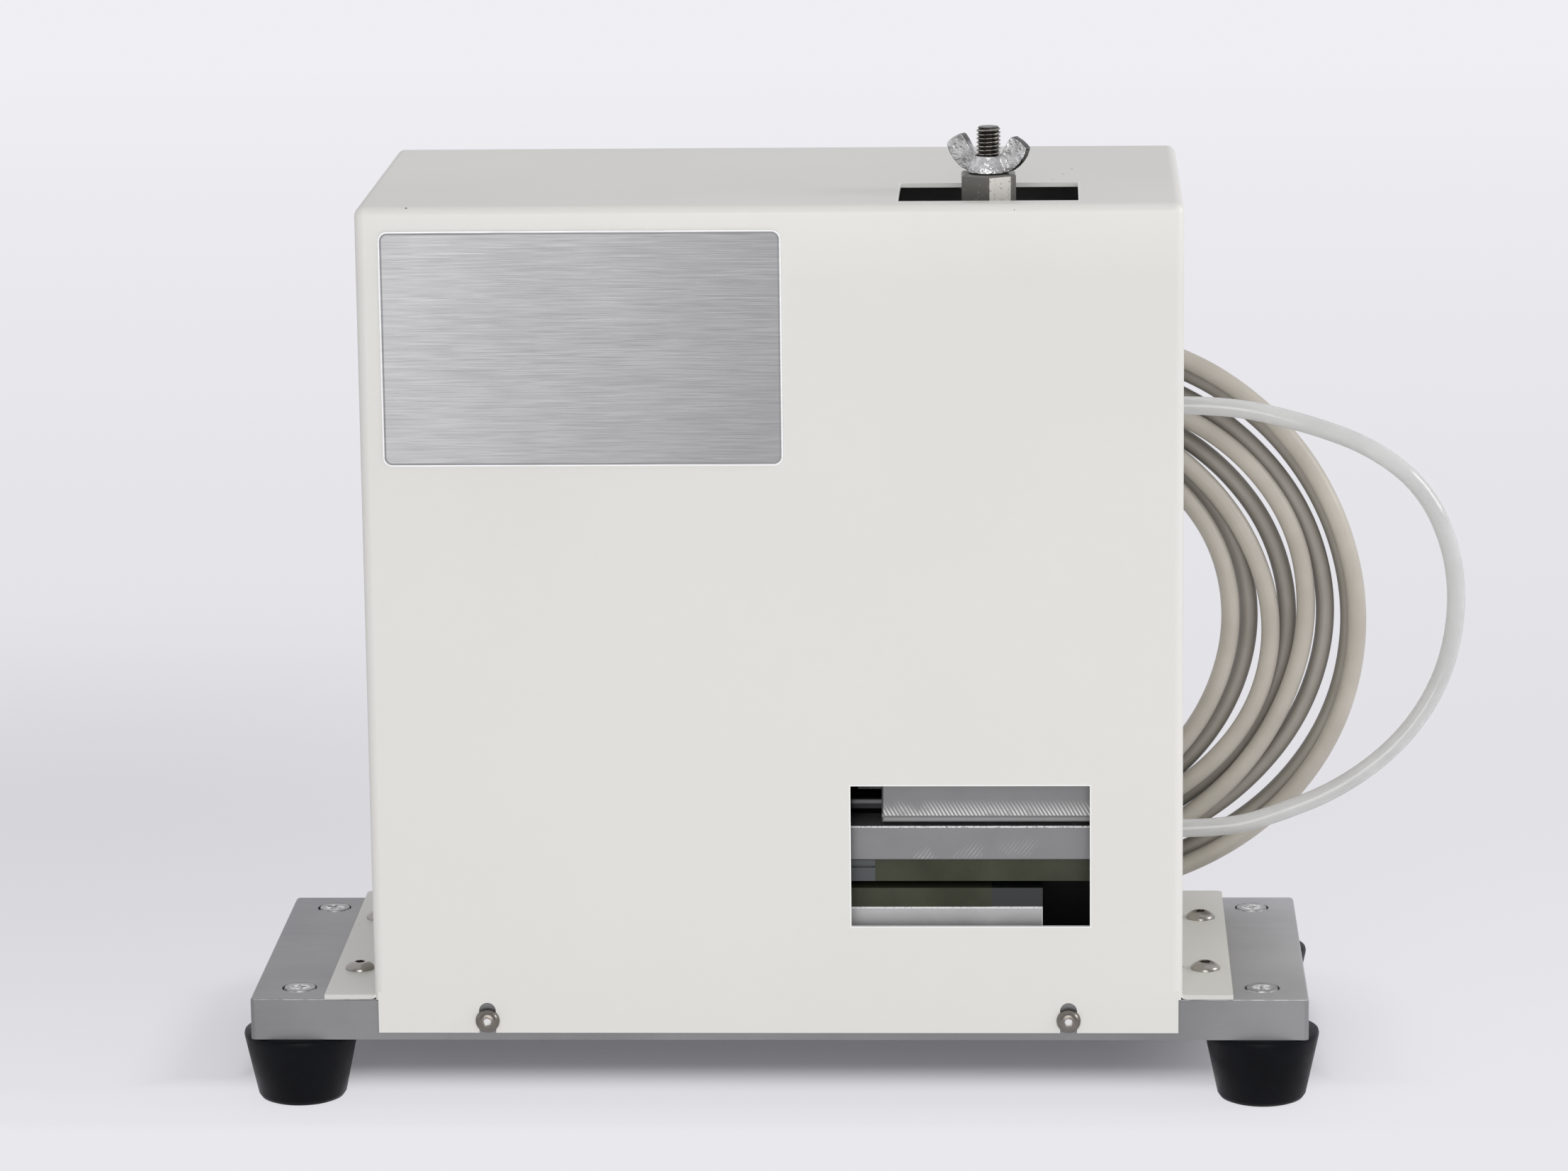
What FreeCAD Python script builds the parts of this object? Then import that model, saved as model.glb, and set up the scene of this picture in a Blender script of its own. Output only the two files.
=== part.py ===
import FreeCAD, Part
import math
import os
import re

import Sketcher

# Air-driven wire straightener. Two padded platens slide against each other in opposite directions
# behind a window, and a wire drawn between them comes out straight. X runs to the right along the
# machine, Y to its back, Z up. The origin is on the floor, at the middle of the machine's box.
# All sizes are in millimetres.

SIZES = {
    # Rubber feet
    "foot_height": 23,
    "foot_top_diameter": 37,
    "foot_bottom_diameter": 28.5,
    "foot_rim": 5,
    "foot_round": 3,
    "foot_recess_diameter": 17,
    "foot_recess_depth": 10,
    "foot_inset_x": 14.5,
    "foot_inset_y": 13.5,
    # Base plate
    "plate_shoulder": 40.5,
    "plate_depth": 125.5,
    "plate_thickness": 13.5,
    "plate_corner": 1.5,
    "plate_chamfer": 0.5,
    "foot_counterbore": 11.4,
    "foot_counterbore_depth": 3,
    # Sheet metal cover
    "sheet": 1.5,
    "bend_radius": 3,
    "cover_width": 260,
    "cover_height": 268.5,
    "cover_drop": 10.75,
    "tab_inset": 1.3,
    "flange_width": 16.3,
    "flange_corner": 2,
    "lip_height": 12,
    "panel_clearance": 0.2,
    # Window for the wire, and the slot for the adjusting column
    "window_left": 24.1,
    "window_width": 76.3,
    "window_bottom": 35.4,
    "window_height": 46.3,
    "slot_width": 56.6,
    "slot_depth": 39,
    # Bare front plate
    "label_margin": 7.5,
    "label_width": 126.5,
    "label_bottom": 186,
    "label_height": 75,
    "label_corner": 3,
    "label_thickness": 0.8,
    # Cover screws
    "front_screw_inset": 36.5,
    "front_screw_rise": 4.4,
    "front_screw_slot": 5.4,
    "front_screw_slot_rise": 10,
    "flange_screw_inset": 8.2,
    "flange_screw_margin": 31.45,
    "lip_screw_inset": 40,
    "rear_screw_inset": 30,
    "side_screw_back": 86,
    "side_screw_head": 5.7,
    "side_screw_height": 1.7,
    "side_screw_length": 8,
    # Fastener sizes: M3, M4, M5 and M8
    "m_three": 3,
    "m_three_head": 5.5,
    "m_three_head_height": 2.6,
    "m_four": 4,
    "m_four_head": 7.6,
    "m_four_head_height": 2.2,
    "m_four_socket": 2.5,
    "m_four_length": 8,
    "m_five": 5,
    "m_five_head": 9.5,
    "m_five_head_height": 2.75,
    "m_five_socket": 3,
    "m_five_length": 10,
    "m_five_pan_head": 9,
    "m_five_pan_height": 3,
    "m_five_nut": 8,
    "m_five_nut_height": 4,
    "m_five_washer": 15,
    "washer_thickness": 1.2,
    "m_eight": 8,
    "hole_clearance": 0.3,
    # Carriages and platens, seen from the window
    "stud_x": 68.8,
    "stud_back": 27.5,
    "head_gap": 8,
    "head_depth": 39,
    "head_length": 69.8,
    "head_height": 32,
    "head_groove": 0.6,
    "head_groove_rise": 1.6,
    "platen_depth": 37,
    "platen_length": 90.6,
    "platen_overhang": 2.2,
    "platen_thickness": 11.25,
    "stop_length": 16.3,
    "stop_groove": 2.1,
    "pad_thickness": 6.2,
    "pad_setback": 0.8,
    "pad_gap": 2.35,
    "pad_level": 71.6,
    "lift_gap": 1.4,
    "edge_break": 0.5,
    "table_thickness": 12,
    "lower_web": 10,
    # Pressure adjustment: column, draw stud, pins and springs
    "column_flats": 17,
    "column_rise": 6.1,
    "column_spigot": 12,
    "column_spigot_depth": 8,
    "column_turn": 2,
    "stud_rise": 14.7,
    "stud_seat": 9,
    "pin_spacing": 54,
    "pin_diameter": 8,
    "pin_length": 34,
    "spring_spacing": 28,
    "spring_diameter": 9.5,
    "spring_wire": 1.6,
    "spring_pocket": 11,
    "spring_pocket_up": 12,
    "spring_pocket_down": 5,
    "running_clearance": 0.04,
    # Wing nut
    "wing_boss": 12.7,
    "wing_boss_top": 9.8,
    "wing_boss_height": 5.6,
    "wing_span": 30.5,
    "wing_height": 11.9,
    "wing_thickness": 3,
    "wing_turn": 152,
    # Linear guides
    "guide_height": 10,
    "guide_block_width": 20,
    "guide_block_length": 40,
    "guide_block_depth": 8,
    "rail_width": 9,
    "rail_height": 6,
    "rail_length": 86,
    "rail_hole_pitch": 20,
    "upper_guide_level": 113,
    "lower_guide_level": 48.9,
    # Rack and pinion
    "gear_module": 1,
    "gear_teeth": 16,
    "gear_width": 7,
    "gear_backlash": 0.16,
    "pinion_set_in": 0.4,
    "pinion_inset": 35,
    "pinion_rise": 1.15,
    "rack_width": 8,
    "upper_rack_body": 9.5,
    "lower_rack_body": 12.5,
    "rack_teeth": 16,
    "shaft_diameter": 6,
    "shaft_head": 9,
    "shaft_head_height": 1.1,
    "pressure_angle": 20,
    # Frame plate and its gussets
    "frame_left": -40,
    "frame_end_gap": 8,
    "frame_height": 98,
    "frame_thickness": 12,
    "frame_bolt_inset": 15,
    "frame_bolt_sunk": 1,
    "gusset_inset": 22,
    "gusset_thickness": 8,
    "gusset_reach": 34,
    "gusset_height": 60,
    # Air cylinder
    "rod_diameter": 8,
    "rod_back": 16,
    "rod_level": 98.5,
    "rod_seat": 12,
    "cylinder_bore": 20,
    "cylinder_outside": 21.6,
    "cylinder_cap_diameter": 22,
    "cylinder_cap_length": 15,
    "cylinder_chamber": 57,
    "cylinder_neck": 16,
    "cylinder_nut": 20,
    "cylinder_nut_length": 6,
    "piston_length": 8,
    "piston_place": 26,
    "bracket_x": -16,
    "bracket_thickness": 4,
    "bracket_width": 24,
    "bracket_level": 85.5,
    "bracket_top": 111.5,
    "bracket_hole_inset": 12,
    "bracket_hole_margin": 6,
    "port_diameter": 9,
    "port_height": 11,
    "port_flat": 0.6,
    # Valve on the base plate, behind the frame plate
    "valve_gap": 6.5,
    "valve_clearance": 2,
    "valve_length": 72,
    "valve_width": 18,
    "valve_height": 36,
    "valve_back": 92,
    "valve_coil_length": 30,
    "valve_coil_height": 26,
    # Rear panel fittings
    "gland_x": 44,
    "gland_level": 251,
    "gland_length": 20,
    "gland_hex": 19,
    "gland_neck": 12,
    "cable_diameter": 6.3,
    "cable_play": 0.3,
    "inlet_x": -95,
    "inlet_level": 70,
    "inlet_tube": 8,
    "inlet_tube_depth": 14,
    "inlet_hex": 14,
    "inlet_length": 18,
    "silencer_x": -60,
    "silencer_diameter": 12,
    "silencer_length": 16,
    # Clear hose looped out of the right wall
    "hose_diameter": 6,
    "hose_back": 80,
    "hose_upper_level": 215.6,
    "hose_lower_level": 73.0,
    "grommet_diameter": 12,
    "grommet_neck": 9,
    "grommet_lip": 1.1,
    # Coil of cable, held by a saddle behind the rear panel
    "coil_gap": 3.4,
    "coil_depth": 13,
    "coil_outer_x": 91.2,
    "coil_outer_level": 132.3,
    "coil_outer_width": 210,
    "coil_outer_height": 191,
    "coil_inner_x": 85,
    "coil_inner_level": 127.6,
    "coil_inner_width": 121,
    "coil_inner_height": 125,
    "saddle_level": 128,
    "saddle_height": 16,
    "saddle_thickness": 1.2,
    "saddle_foot": 11,
    "saddle_play": 1,
    "plug_length": 22,
    "plug_width": 11.7,
    "plug_thickness": 8,
    "plug_boot_length": 16,
    "plug_boot_diameter": 9,
}

# Levels, faces and centre lines that follow from the sizes above.
DERIVED = {
    "plate_length": "cover_width + 2*plate_shoulder",
    "foot_spacing_x": "plate_length - 2*foot_inset_x",
    "foot_spacing_y": "plate_depth - 2*foot_inset_y",
    "label_left": "label_margin - cover_width/2",
    "front_screw_spacing": "cover_width - 2*front_screw_inset",
    "flange_screw_spacing": "plate_depth - 2*flange_screw_margin",
    "lip_screw_spacing": "cover_width - 2*lip_screw_inset",
    "rear_screw_spacing": "cover_width - 2*rear_screw_inset",
    "valve_left": "valve_gap + sheet - cover_width/2",
    "frame_right": "cover_width/2 - frame_end_gap",
    "foot_overhang": "foot_top_diameter/2 - (plate_depth - foot_spacing_y)/2 - sheet",
    "cover_depth": "plate_depth + 3*sheet",
    "rear_reach": "cover_depth - sheet + gland_length",
    "front_y": "-(rear_reach - foot_overhang)/2",
    "plate_front": "front_y + sheet",
    "plate_back": "plate_front + plate_depth",
    "plate_middle": "(plate_front + plate_back)/2",
    "plate_top": "foot_height + plate_thickness",
    "cover_back": "front_y + cover_depth",
    "cover_bottom": "plate_top - cover_drop",
    "cover_top": "cover_bottom + cover_height",
    "panel_back": "plate_back + sheet",
    "window_low": "cover_bottom + window_bottom",
    "window_high": "window_low + window_height",
    "stud_y": "front_y + stud_back",
    "head_front": "front_y + head_gap",
    "head_back": "head_front + head_depth",
    "platen_back": "head_front + platen_depth",
    "head_left": "stud_x - head_length/2",
    "head_right": "stud_x + head_length/2",
    "upper_pad_low": "pad_level + pad_gap",
    "platen_low": "upper_pad_low + pad_thickness + pad_setback",
    "platen_high": "platen_low + platen_thickness",
    "head_low": "platen_high + lift_gap",
    "head_high": "head_low + head_height",
    "platen_right": "head_right + platen_overhang",
    "platen_left": "platen_right - platen_length",
    "pinion_x": "platen_left + pinion_inset",
    "table_left": "2*pinion_x - platen_right",
    "table_right": "2*pinion_x - platen_left",
    "table_high": "pad_level - pad_thickness",
    "table_low": "table_high - table_thickness",
    "table_foot": "lower_guide_level - guide_block_width/2",
    "pitch_radius": "gear_module*gear_teeth/2",
    "tooth_pitch": "pi*gear_module",
    "pinion_level": "(lower_guide_level + upper_guide_level)/2 + pinion_rise",
    "frame_front": "head_back + guide_height",
    "frame_back": "frame_front + frame_thickness",
    "rod_y": "front_y + rod_back",
    "column_top": "cover_top + column_rise",
    "stud_top": "column_top + stud_rise",
    "bracket_right": "bracket_x + bracket_thickness",
    "cap_left": "bracket_x - cylinder_cap_length",
    "chamber_left": "cap_left - cylinder_chamber",
    "hose_y": "front_y + hose_back",
    "wall_right": "cover_width/2",
    "coil_front": "cover_back + coil_gap - sheet",
    "coil_back": "coil_front + coil_depth",
    "gland_end": "panel_back + gland_length",
}

ORIGIN_PLANES = {"x": "YZ_Plane", "y": "XZ_Plane", "z": "XY_Plane"}
LOCAL_AXES = {"x": "X_Axis", "y": "Y_Axis", "z": "Z_Axis"}
X_UNIT = FreeCAD.Vector(1, 0, 0)
Y_UNIT = FreeCAD.Vector(0, 1, 0)
Z_UNIT = FreeCAD.Vector(0, 0, 1)
# Which way the turned axis of a screw or shaft points once it is placed.
POINTING = {
    "up": FreeCAD.Rotation(),
    "down": FreeCAD.Rotation(X_UNIT, 180),
    "front": FreeCAD.Rotation(X_UNIT, 90),
    "back": FreeCAD.Rotation(X_UNIT, -90),
    "right": FreeCAD.Rotation(Y_UNIT, 90),
    "left": FreeCAD.Rotation(Y_UNIT, -90),
}

doc = FreeCAD.newDocument("wire_straightener")
sheet = doc.addObject("Spreadsheet::Sheet", "Sizes")
cells = {}


def write_size(alias, content):
    """Give one size the next row of the sheet, with its name beside it."""
    row = len(cells) + 1
    sheet.set("A%d" % row, alias)
    sheet.set("B%d" % row, content)
    sheet.setAlias("B%d" % row, alias)
    cells[alias] = row


for size_name, size_value in SIZES.items():
    write_size(size_name, str(size_value))
for size_name, size_formula in DERIVED.items():
    write_size(size_name, "=" + size_formula)
doc.recompute()


def bound(formula):
    """Write a formula so that each size in it is read from the sheet."""

    def cell(word):
        name = word.group()
        return "Sizes." + name if name in cells else name

    return re.sub(r"[a-z_]+", cell, formula)


def mm(alias):
    """The number that a size has now."""
    return float(sheet.get(alias))


# ---- sketches and features ------------------------------------------------------------------


def origin_item(body, role):
    """The plane or axis of a body's own origin."""
    return next(item for item in body.Origin.OriginFeatures if item.Role == role)


def new_body(label):
    """Start one sub-part."""
    body = doc.addObject("PartDesign::Body", label)
    body.Label = label
    body.AllowCompound = True
    return body


def rectangle(left, low, right, high):
    """The corners of a rectangle."""
    return [(left, low), (right, low), (right, high), (left, high)]


def hexagon(flats, across="0", up="0"):
    """The corners of a regular hexagon with two flats upright."""
    half = "(%s)/2" % flats
    short = "(%s)/(2*sqrt(3))" % flats
    tall = "(%s)/sqrt(3)" % flats
    signs = [(half, short), ("0", tall), ("-" + half, short)]
    signs += [("-" + half, "-" + short), ("0", "-" + tall), (half, "-" + short)]
    return [("%s + %s" % (across, x), "%s + %s" % (up, z)) for x, z in signs]


def set_length(sketch, constraint, formula):
    """Add a dimension to a sketch and bind it to a formula."""
    index = sketch.addConstraint(constraint)
    sketch.setExpression("Constraints[%d]" % index, bound(formula))


def draw_polygon(sketch, points):
    """A closed outline whose corners are held from the sketch's origin."""
    first = sketch.GeometryCount
    count = len(points)
    spread = 2 * math.pi / count
    corners = [FreeCAD.Vector(math.cos(i * spread), math.sin(i * spread), 0) for i in range(count)]
    for i in range(count):
        sketch.addGeometry(Part.LineSegment(corners[i], corners[(i + 1) % count]))
    for i in range(count):
        following = first + (i + 1) % count
        sketch.addConstraint(Sketcher.Constraint("Coincident", first + i, 2, following, 1))
    for i, (across, up) in enumerate(points):
        set_length(sketch, Sketcher.Constraint("DistanceX", -1, 1, first + i, 1, 1.0), across)
        set_length(sketch, Sketcher.Constraint("DistanceY", -1, 1, first + i, 1, 1.0), up)


def draw_circle(sketch, across, up, diameter):
    """A circle held by its centre and diameter."""
    index = sketch.addGeometry(Part.Circle(FreeCAD.Vector(0, 0, 0), Z_UNIT, 1))
    set_length(sketch, Sketcher.Constraint("DistanceX", -1, 1, index, 3, 1.0), across)
    set_length(sketch, Sketcher.Constraint("DistanceY", -1, 1, index, 3, 1.0), up)
    set_length(sketch, Sketcher.Constraint("Diameter", index, 2.0), diameter)


def draw(body, axis, offset, outlines):
    """A sketch square to an axis, at a distance along its plane's normal."""
    sketch = body.newObject("Sketcher::SketchObject", body.Label + "_sketch")
    sketch.AttachmentSupport = (origin_item(body, ORIGIN_PLANES[axis]), "")
    sketch.MapMode = "FlatFace"
    sketch.setExpression(".AttachmentOffset.Base.z", bound(offset))
    for outline in outlines:
        if isinstance(outline, list):
            draw_polygon(sketch, outline)
        else:
            draw_circle(sketch, *outline)
    return sketch


def add(body, axis, start, end, *outlines):
    """Pad outlines from one place on an axis to another. Circles are (across, up, diameter)."""
    offset = "-(%s)" % end if axis == "y" else start
    pad = body.newObject("PartDesign::Pad", body.Label + "_pad")
    pad.Profile = draw(body, axis, offset, outlines)
    pad.setExpression("Length", bound("(%s) - (%s)" % (end, start)))
    body.Tip = pad
    doc.recompute()
    return pad


def cut(body, axis, start, end, *outlines):
    """Pocket outlines from one place on an axis to another."""
    offset = "-(%s)" % start if axis == "y" else end
    pocket = body.newObject("PartDesign::Pocket", body.Label + "_pocket")
    pocket.Profile = draw(body, axis, offset, outlines)
    pocket.setExpression("Length", bound("(%s) - (%s)" % (end, start)))
    body.Tip = pocket
    doc.recompute()
    return pocket


def turn(body, profile):
    """Turn a profile of (radius, height) corners about the body's own Z axis."""
    sketch = draw(body, "y", "0", [profile])
    turned = body.newObject("PartDesign::Revolution", body.Label + "_turned")
    turned.Profile = sketch
    turned.ReferenceAxis = (sketch, ["V_Axis"])
    turned.Angle = 360
    body.Tip = turned
    doc.recompute()
    return turned


def repeat(body, feature, axis, spacing, count, second_axis=None, second_spacing="0"):
    """Repeat a feature in a row along an axis, or in a row of pairs along two."""
    pattern = body.newObject("PartDesign::LinearPattern", body.Label + "_pattern")
    pattern.Originals = feature if isinstance(feature, list) else [feature]
    pattern.Direction = (origin_item(body, LOCAL_AXES[axis]), [""])
    pattern.Occurrences = count
    pattern.setExpression("Length", bound("(%s)*%d" % (spacing, count - 1)))
    if second_axis:
        pattern.Direction2 = (origin_item(body, LOCAL_AXES[second_axis]), [""])
        pattern.Occurrences2 = 2
        pattern.setExpression("Length2", bound(second_spacing))
    body.Tip = pattern
    doc.recompute()


def edges_where(shape, test):
    """The names of the edges that pass a test."""
    return ["Edge%d" % (i + 1) for i, edge in enumerate(shape.Edges) if test(edge)]


def along(edge, direction):
    """Whether a straight edge runs along a direction."""
    ends = edge.Vertexes
    if len(ends) != 2 or not isinstance(edge.Curve, Part.Line):
        return False
    return abs(edge.tangentAt(edge.FirstParameter).dot(direction)) > 0.999


def at(edge, **places):
    """Whether every corner of an edge lies at the given x, y or z."""
    return all(
        abs(getattr(corner.Point, axis) - place) < 0.01
        for corner in edge.Vertexes
        for axis, place in places.items()
    )


def soften(body, kind, radius, test):
    """Round or chamfer the edges of a body that pass a test."""
    base = body.Tip
    chosen = edges_where(base.Shape, test)
    feature = body.newObject("PartDesign::" + kind, body.Label + "_" + kind.lower())
    feature.Base = (base, chosen)
    feature.setExpression("Radius" if kind == "Fillet" else "Size", bound(radius))
    body.Tip = feature
    doc.recompute()


def place(body, x, y, z, pointing="up"):
    """Stand a body at a point, with its own Z axis pointing one way."""
    body.Placement = FreeCAD.Placement(FreeCAD.Vector(), POINTING[pointing])
    for axis, formula in (("x", x), ("y", y), ("z", z)):
        body.setExpression(".Placement.Base." + axis, bound(formula))


def round_head(body, head, height, shank, length, socket=None):
    """A screw with a domed head, its seat at height 0 and its shank pointing down."""
    profile = [
        ("0", "-(%s)" % length),
        ("(%s)/2" % shank, "-(%s)" % length),
        ("(%s)/2" % shank, "0"),
        ("(%s)/2" % head, "0"),
        ("(%s)/2" % head, "(%s)*0.3" % height),
        ("(%s)*0.43" % head, "(%s)*0.68" % height),
        ("(%s)*0.3" % head, "(%s)*0.94" % height),
        ("(%s)*0.16" % head, height),
        ("0", height),
    ]
    features = [turn(body, profile)]
    if socket:
        features.append(cut(body, "z", "(%s)*0.4" % height, height, hexagon(socket)))
    return features


def nut_and_washer(body, flats, height, hole):
    """A hexagon nut, standing up from height 0."""
    return add(body, "z", "0", height, hexagon(flats), ("0", "0", hole))


# ---- feet and base plate --------------------------------------------------------------------

foot_corner = ("-foot_spacing_x/2", "plate_middle - foot_spacing_y/2")

rubber_feet = new_body("rubber_feet")
foot = turn(
    rubber_feet,
    [
        ("(m_five + hole_clearance)/2", "foot_recess_depth"),
        ("foot_recess_diameter/2", "foot_recess_depth"),
        ("foot_recess_diameter/2", "0"),
        ("foot_bottom_diameter/2 - foot_round", "0"),
        ("foot_bottom_diameter/2", "foot_round"),
        ("foot_top_diameter/2", "foot_height - foot_rim"),
        ("foot_top_diameter/2", "foot_height"),
        ("(m_five + hole_clearance)/2", "foot_height"),
    ],
)
repeat(rubber_feet, foot, "x", "foot_spacing_x", 2, "y", "foot_spacing_y")
place(rubber_feet, *foot_corner, "0")

foot_washers = new_body("foot_washers")
washer = add(
    foot_washers,
    "z",
    "foot_recess_depth - washer_thickness",
    "foot_recess_depth",
    ("0", "0", "m_five_washer"),
    ("0", "0", "m_five + hole_clearance"),
)
repeat(foot_washers, washer, "x", "foot_spacing_x", 2, "y", "foot_spacing_y")
place(foot_washers, *foot_corner, "0")

foot_nuts = new_body("foot_nuts")
foot_nut = nut_and_washer(foot_nuts, "m_five_nut", "m_five_nut_height", "m_five")
repeat(foot_nuts, foot_nut, "x", "foot_spacing_x", 2, "y", "foot_spacing_y")
place(foot_nuts, *foot_corner, "foot_recess_depth - washer_thickness - m_five_nut_height")

foot_screws = new_body("foot_screws")
foot_screw_seat = "plate_top - foot_counterbore_depth"
foot_screw_reach = foot_screw_seat + " - foot_recess_depth + m_five_nut_height + 2*washer_thickness"
foot_screw = round_head(
    foot_screws, "m_five_pan_head", "m_five_pan_height", "m_five", foot_screw_reach
)
repeat(foot_screws, foot_screw, "x", "foot_spacing_x", 2, "y", "foot_spacing_y")
place(foot_screws, *foot_corner, foot_screw_seat)

base_plate = new_body("base_plate")
add(
    base_plate,
    "z",
    "foot_height",
    "plate_top",
    rectangle("-plate_length/2", "plate_front", "plate_length/2", "plate_back"),
)
soften(base_plate, "Fillet", "plate_corner", lambda edge: along(edge, Z_UNIT))
soften(base_plate, "Chamfer", "plate_chamfer", lambda edge: at(edge, z=mm("plate_top")))


def four_holes(spacing_x, spacing_y, diameter):
    """Circles at the corners of a rectangle about the middle of the base plate."""
    return [
        ("%s(%s)/2" % (x, spacing_x), "plate_middle %s (%s)/2" % (y, spacing_y), diameter)
        for x in "-+"
        for y in "-+"
    ]


flange_spacing = "cover_width + 2*flange_screw_inset"
cut(
    base_plate,
    "z",
    "plate_top - foot_counterbore_depth",
    "plate_top",
    *four_holes("foot_spacing_x", "foot_spacing_y", "foot_counterbore"),
)
cut(
    base_plate,
    "z",
    "foot_height",
    "plate_top",
    *four_holes("foot_spacing_x", "foot_spacing_y", "m_five + hole_clearance"),
)
cut(
    base_plate,
    "z",
    "plate_top - m_five_length",
    "plate_top",
    *four_holes(flange_spacing, "flange_screw_spacing", "m_five"),
)
front_screw_level = "cover_bottom + front_screw_rise"
cut(
    base_plate,
    "y",
    "plate_front",
    "plate_front + m_four_length",
    ("-front_screw_spacing/2", front_screw_level, "m_four"),
    ("front_screw_spacing/2", front_screw_level, "m_four"),
)
rear_screw_level = "foot_height + plate_thickness/2"
cut(
    base_plate,
    "y",
    "plate_back - m_four_length",
    "plate_back",
    ("-rear_screw_spacing/2", rear_screw_level, "m_four"),
    ("0", rear_screw_level, "m_four"),
    ("rear_screw_spacing/2", rear_screw_level, "m_four"),
)
cut(
    base_plate,
    "x",
    "plate_length/2 - side_screw_length",
    "plate_length/2",
    ("front_y + side_screw_back", rear_screw_level, "m_three"),
)
frame_bolt_xs = [
    "frame_left + frame_bolt_inset",
    "(frame_left + frame_right)/2",
    "frame_right - frame_bolt_inset",
]
frame_middle_y = "(frame_front + frame_back)/2"
frame_bolt_seat = "foot_height + m_five_head_height + frame_bolt_sunk"
cut(
    base_plate,
    "z",
    "foot_height",
    "plate_top",
    *[(x, frame_middle_y, "m_five + hole_clearance") for x in frame_bolt_xs],
)
cut(
    base_plate,
    "z",
    "foot_height",
    frame_bolt_seat,
    *[(x, frame_middle_y, "m_five_head + 2*hole_clearance") for x in frame_bolt_xs],
)

frame_bolts = new_body("frame_bolts")
frame_bolt_length = "plate_thickness + m_five_length - m_five_head_height - frame_bolt_sunk"
frame_bolt = round_head(
    frame_bolts, "m_five_head", "m_five_head_height", "m_five", frame_bolt_length, "m_five_socket"
)
repeat(frame_bolts, frame_bolt, "x", "(frame_right - frame_left)/2 - frame_bolt_inset", 3)
place(frame_bolts, frame_bolt_xs[0], frame_middle_y, frame_bolt_seat, "down")

side_screw = new_body("side_screw")
round_head(side_screw, "side_screw_head", "side_screw_height", "m_three", "side_screw_length", "m_three/2")
place(side_screw, "plate_length/2", "front_y + side_screw_back", rear_screw_level, "right")

# ---- sheet metal cover ----------------------------------------------------------------------

cover = new_body("cover")
add(
    cover,
    "z",
    "plate_top",
    "cover_top",
    rectangle("-cover_width/2", "front_y", "cover_width/2", "cover_back"),
)


def is_bend(edge):
    """The five outside edges where the cover's walls are bent or welded round."""
    front = at(edge, y=mm("front_y"))
    top = at(edge, z=mm("cover_top"))
    return (front and along(edge, Z_UNIT)) or (top and (front or along(edge, Y_UNIT)))


soften(cover, "Fillet", "bend_radius", is_bend)
cut(
    cover,
    "z",
    "plate_top",
    "cover_top - sheet",
    rectangle("-cover_width/2 + sheet", "front_y + sheet", "cover_width/2 - sheet", "cover_back"),
)


def is_inner_bend(edge):
    """The same edges on the inside of the sheet."""
    front = at(edge, y=mm("front_y") + mm("sheet"))
    top = at(edge, z=mm("cover_top") - mm("sheet"))
    inside = abs(abs(edge.Vertexes[0].X) - mm("cover_width") / 2 + mm("sheet")) < 0.01
    return (front and (along(edge, Z_UNIT) or top)) or (top and inside and along(edge, Y_UNIT))


soften(cover, "Fillet", "bend_radius - sheet", is_inner_bend)
add(
    cover,
    "z",
    "plate_top",
    "plate_top + sheet",
    rectangle("-cover_width/2 - flange_width", "plate_front", "-cover_width/2 + sheet", "cover_back"),
    rectangle("cover_width/2 - sheet", "plate_front", "cover_width/2 + flange_width", "cover_back"),
)
soften(
    cover,
    "Fillet",
    "flange_corner",
    lambda edge: along(edge, Z_UNIT)
    and at(edge, y=mm("cover_back"))
    and abs(abs(edge.Vertexes[0].X) - mm("cover_width") / 2 - mm("flange_width")) < 0.01,
)


def under_bend(side):
    """The corner left free between a flange, its bend and the plate."""
    corners = [(side + "(cover_width/2 - sheet)", "plate_top")]
    for i in range(5):
        across = 1 - math.sin(i * math.pi / 8)
        up = 1 - math.cos(i * math.pi / 8)
        x = side + "(cover_width/2 - sheet + bend_radius*%.4f)" % across
        corners.append((x, "plate_top + bend_radius*%.4f" % up))
    return corners


cut(cover, "y", "plate_front", "cover_back", under_bend("-"), under_bend("+"))
add(
    cover,
    "y",
    "front_y",
    "plate_front",
    rectangle(
        "-cover_width/2 + tab_inset",
        "cover_bottom",
        "cover_width/2 - tab_inset",
        "plate_top + bend_radius",
    ),
)
add(
    cover,
    "y",
    "cover_back - sheet",
    "cover_back",
    rectangle(
        "-cover_width/2 + sheet",
        "cover_top - sheet - lip_height",
        "cover_width/2 - sheet",
        "cover_top - sheet",
    ),
)
cut(
    cover,
    "y",
    "front_y",
    "plate_front",
    rectangle("window_left", "window_low", "window_left + window_width", "window_high"),
)
cut(
    cover,
    "z",
    "cover_top - sheet",
    "cover_top",
    rectangle(
        "stud_x - slot_width/2", "stud_y - slot_depth/2", "stud_x + slot_width/2", "stud_y + slot_depth/2"
    ),
)
slot_top = "cover_bottom + front_screw_slot_rise - front_screw_slot/2"
for side in "-+":
    slot_x = side + "front_screw_spacing/2"
    cut(
        cover,
        "y",
        "front_y",
        "plate_front",
        rectangle(
            slot_x + " - front_screw_slot/2",
            "cover_bottom",
            slot_x + " + front_screw_slot/2",
            slot_top,
        ),
    )
    cut(cover, "y", "front_y", "plate_front", (slot_x, slot_top, "front_screw_slot"))
cut(
    cover,
    "z",
    "plate_top",
    "plate_top + sheet",
    *four_holes(flange_spacing, "flange_screw_spacing", "m_five + hole_clearance"),
)
cut(
    cover,
    "x",
    "wall_right - sheet",
    "wall_right",
    ("hose_y", "hose_upper_level", "grommet_neck"),
    ("hose_y", "hose_lower_level", "grommet_neck"),
)
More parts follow.
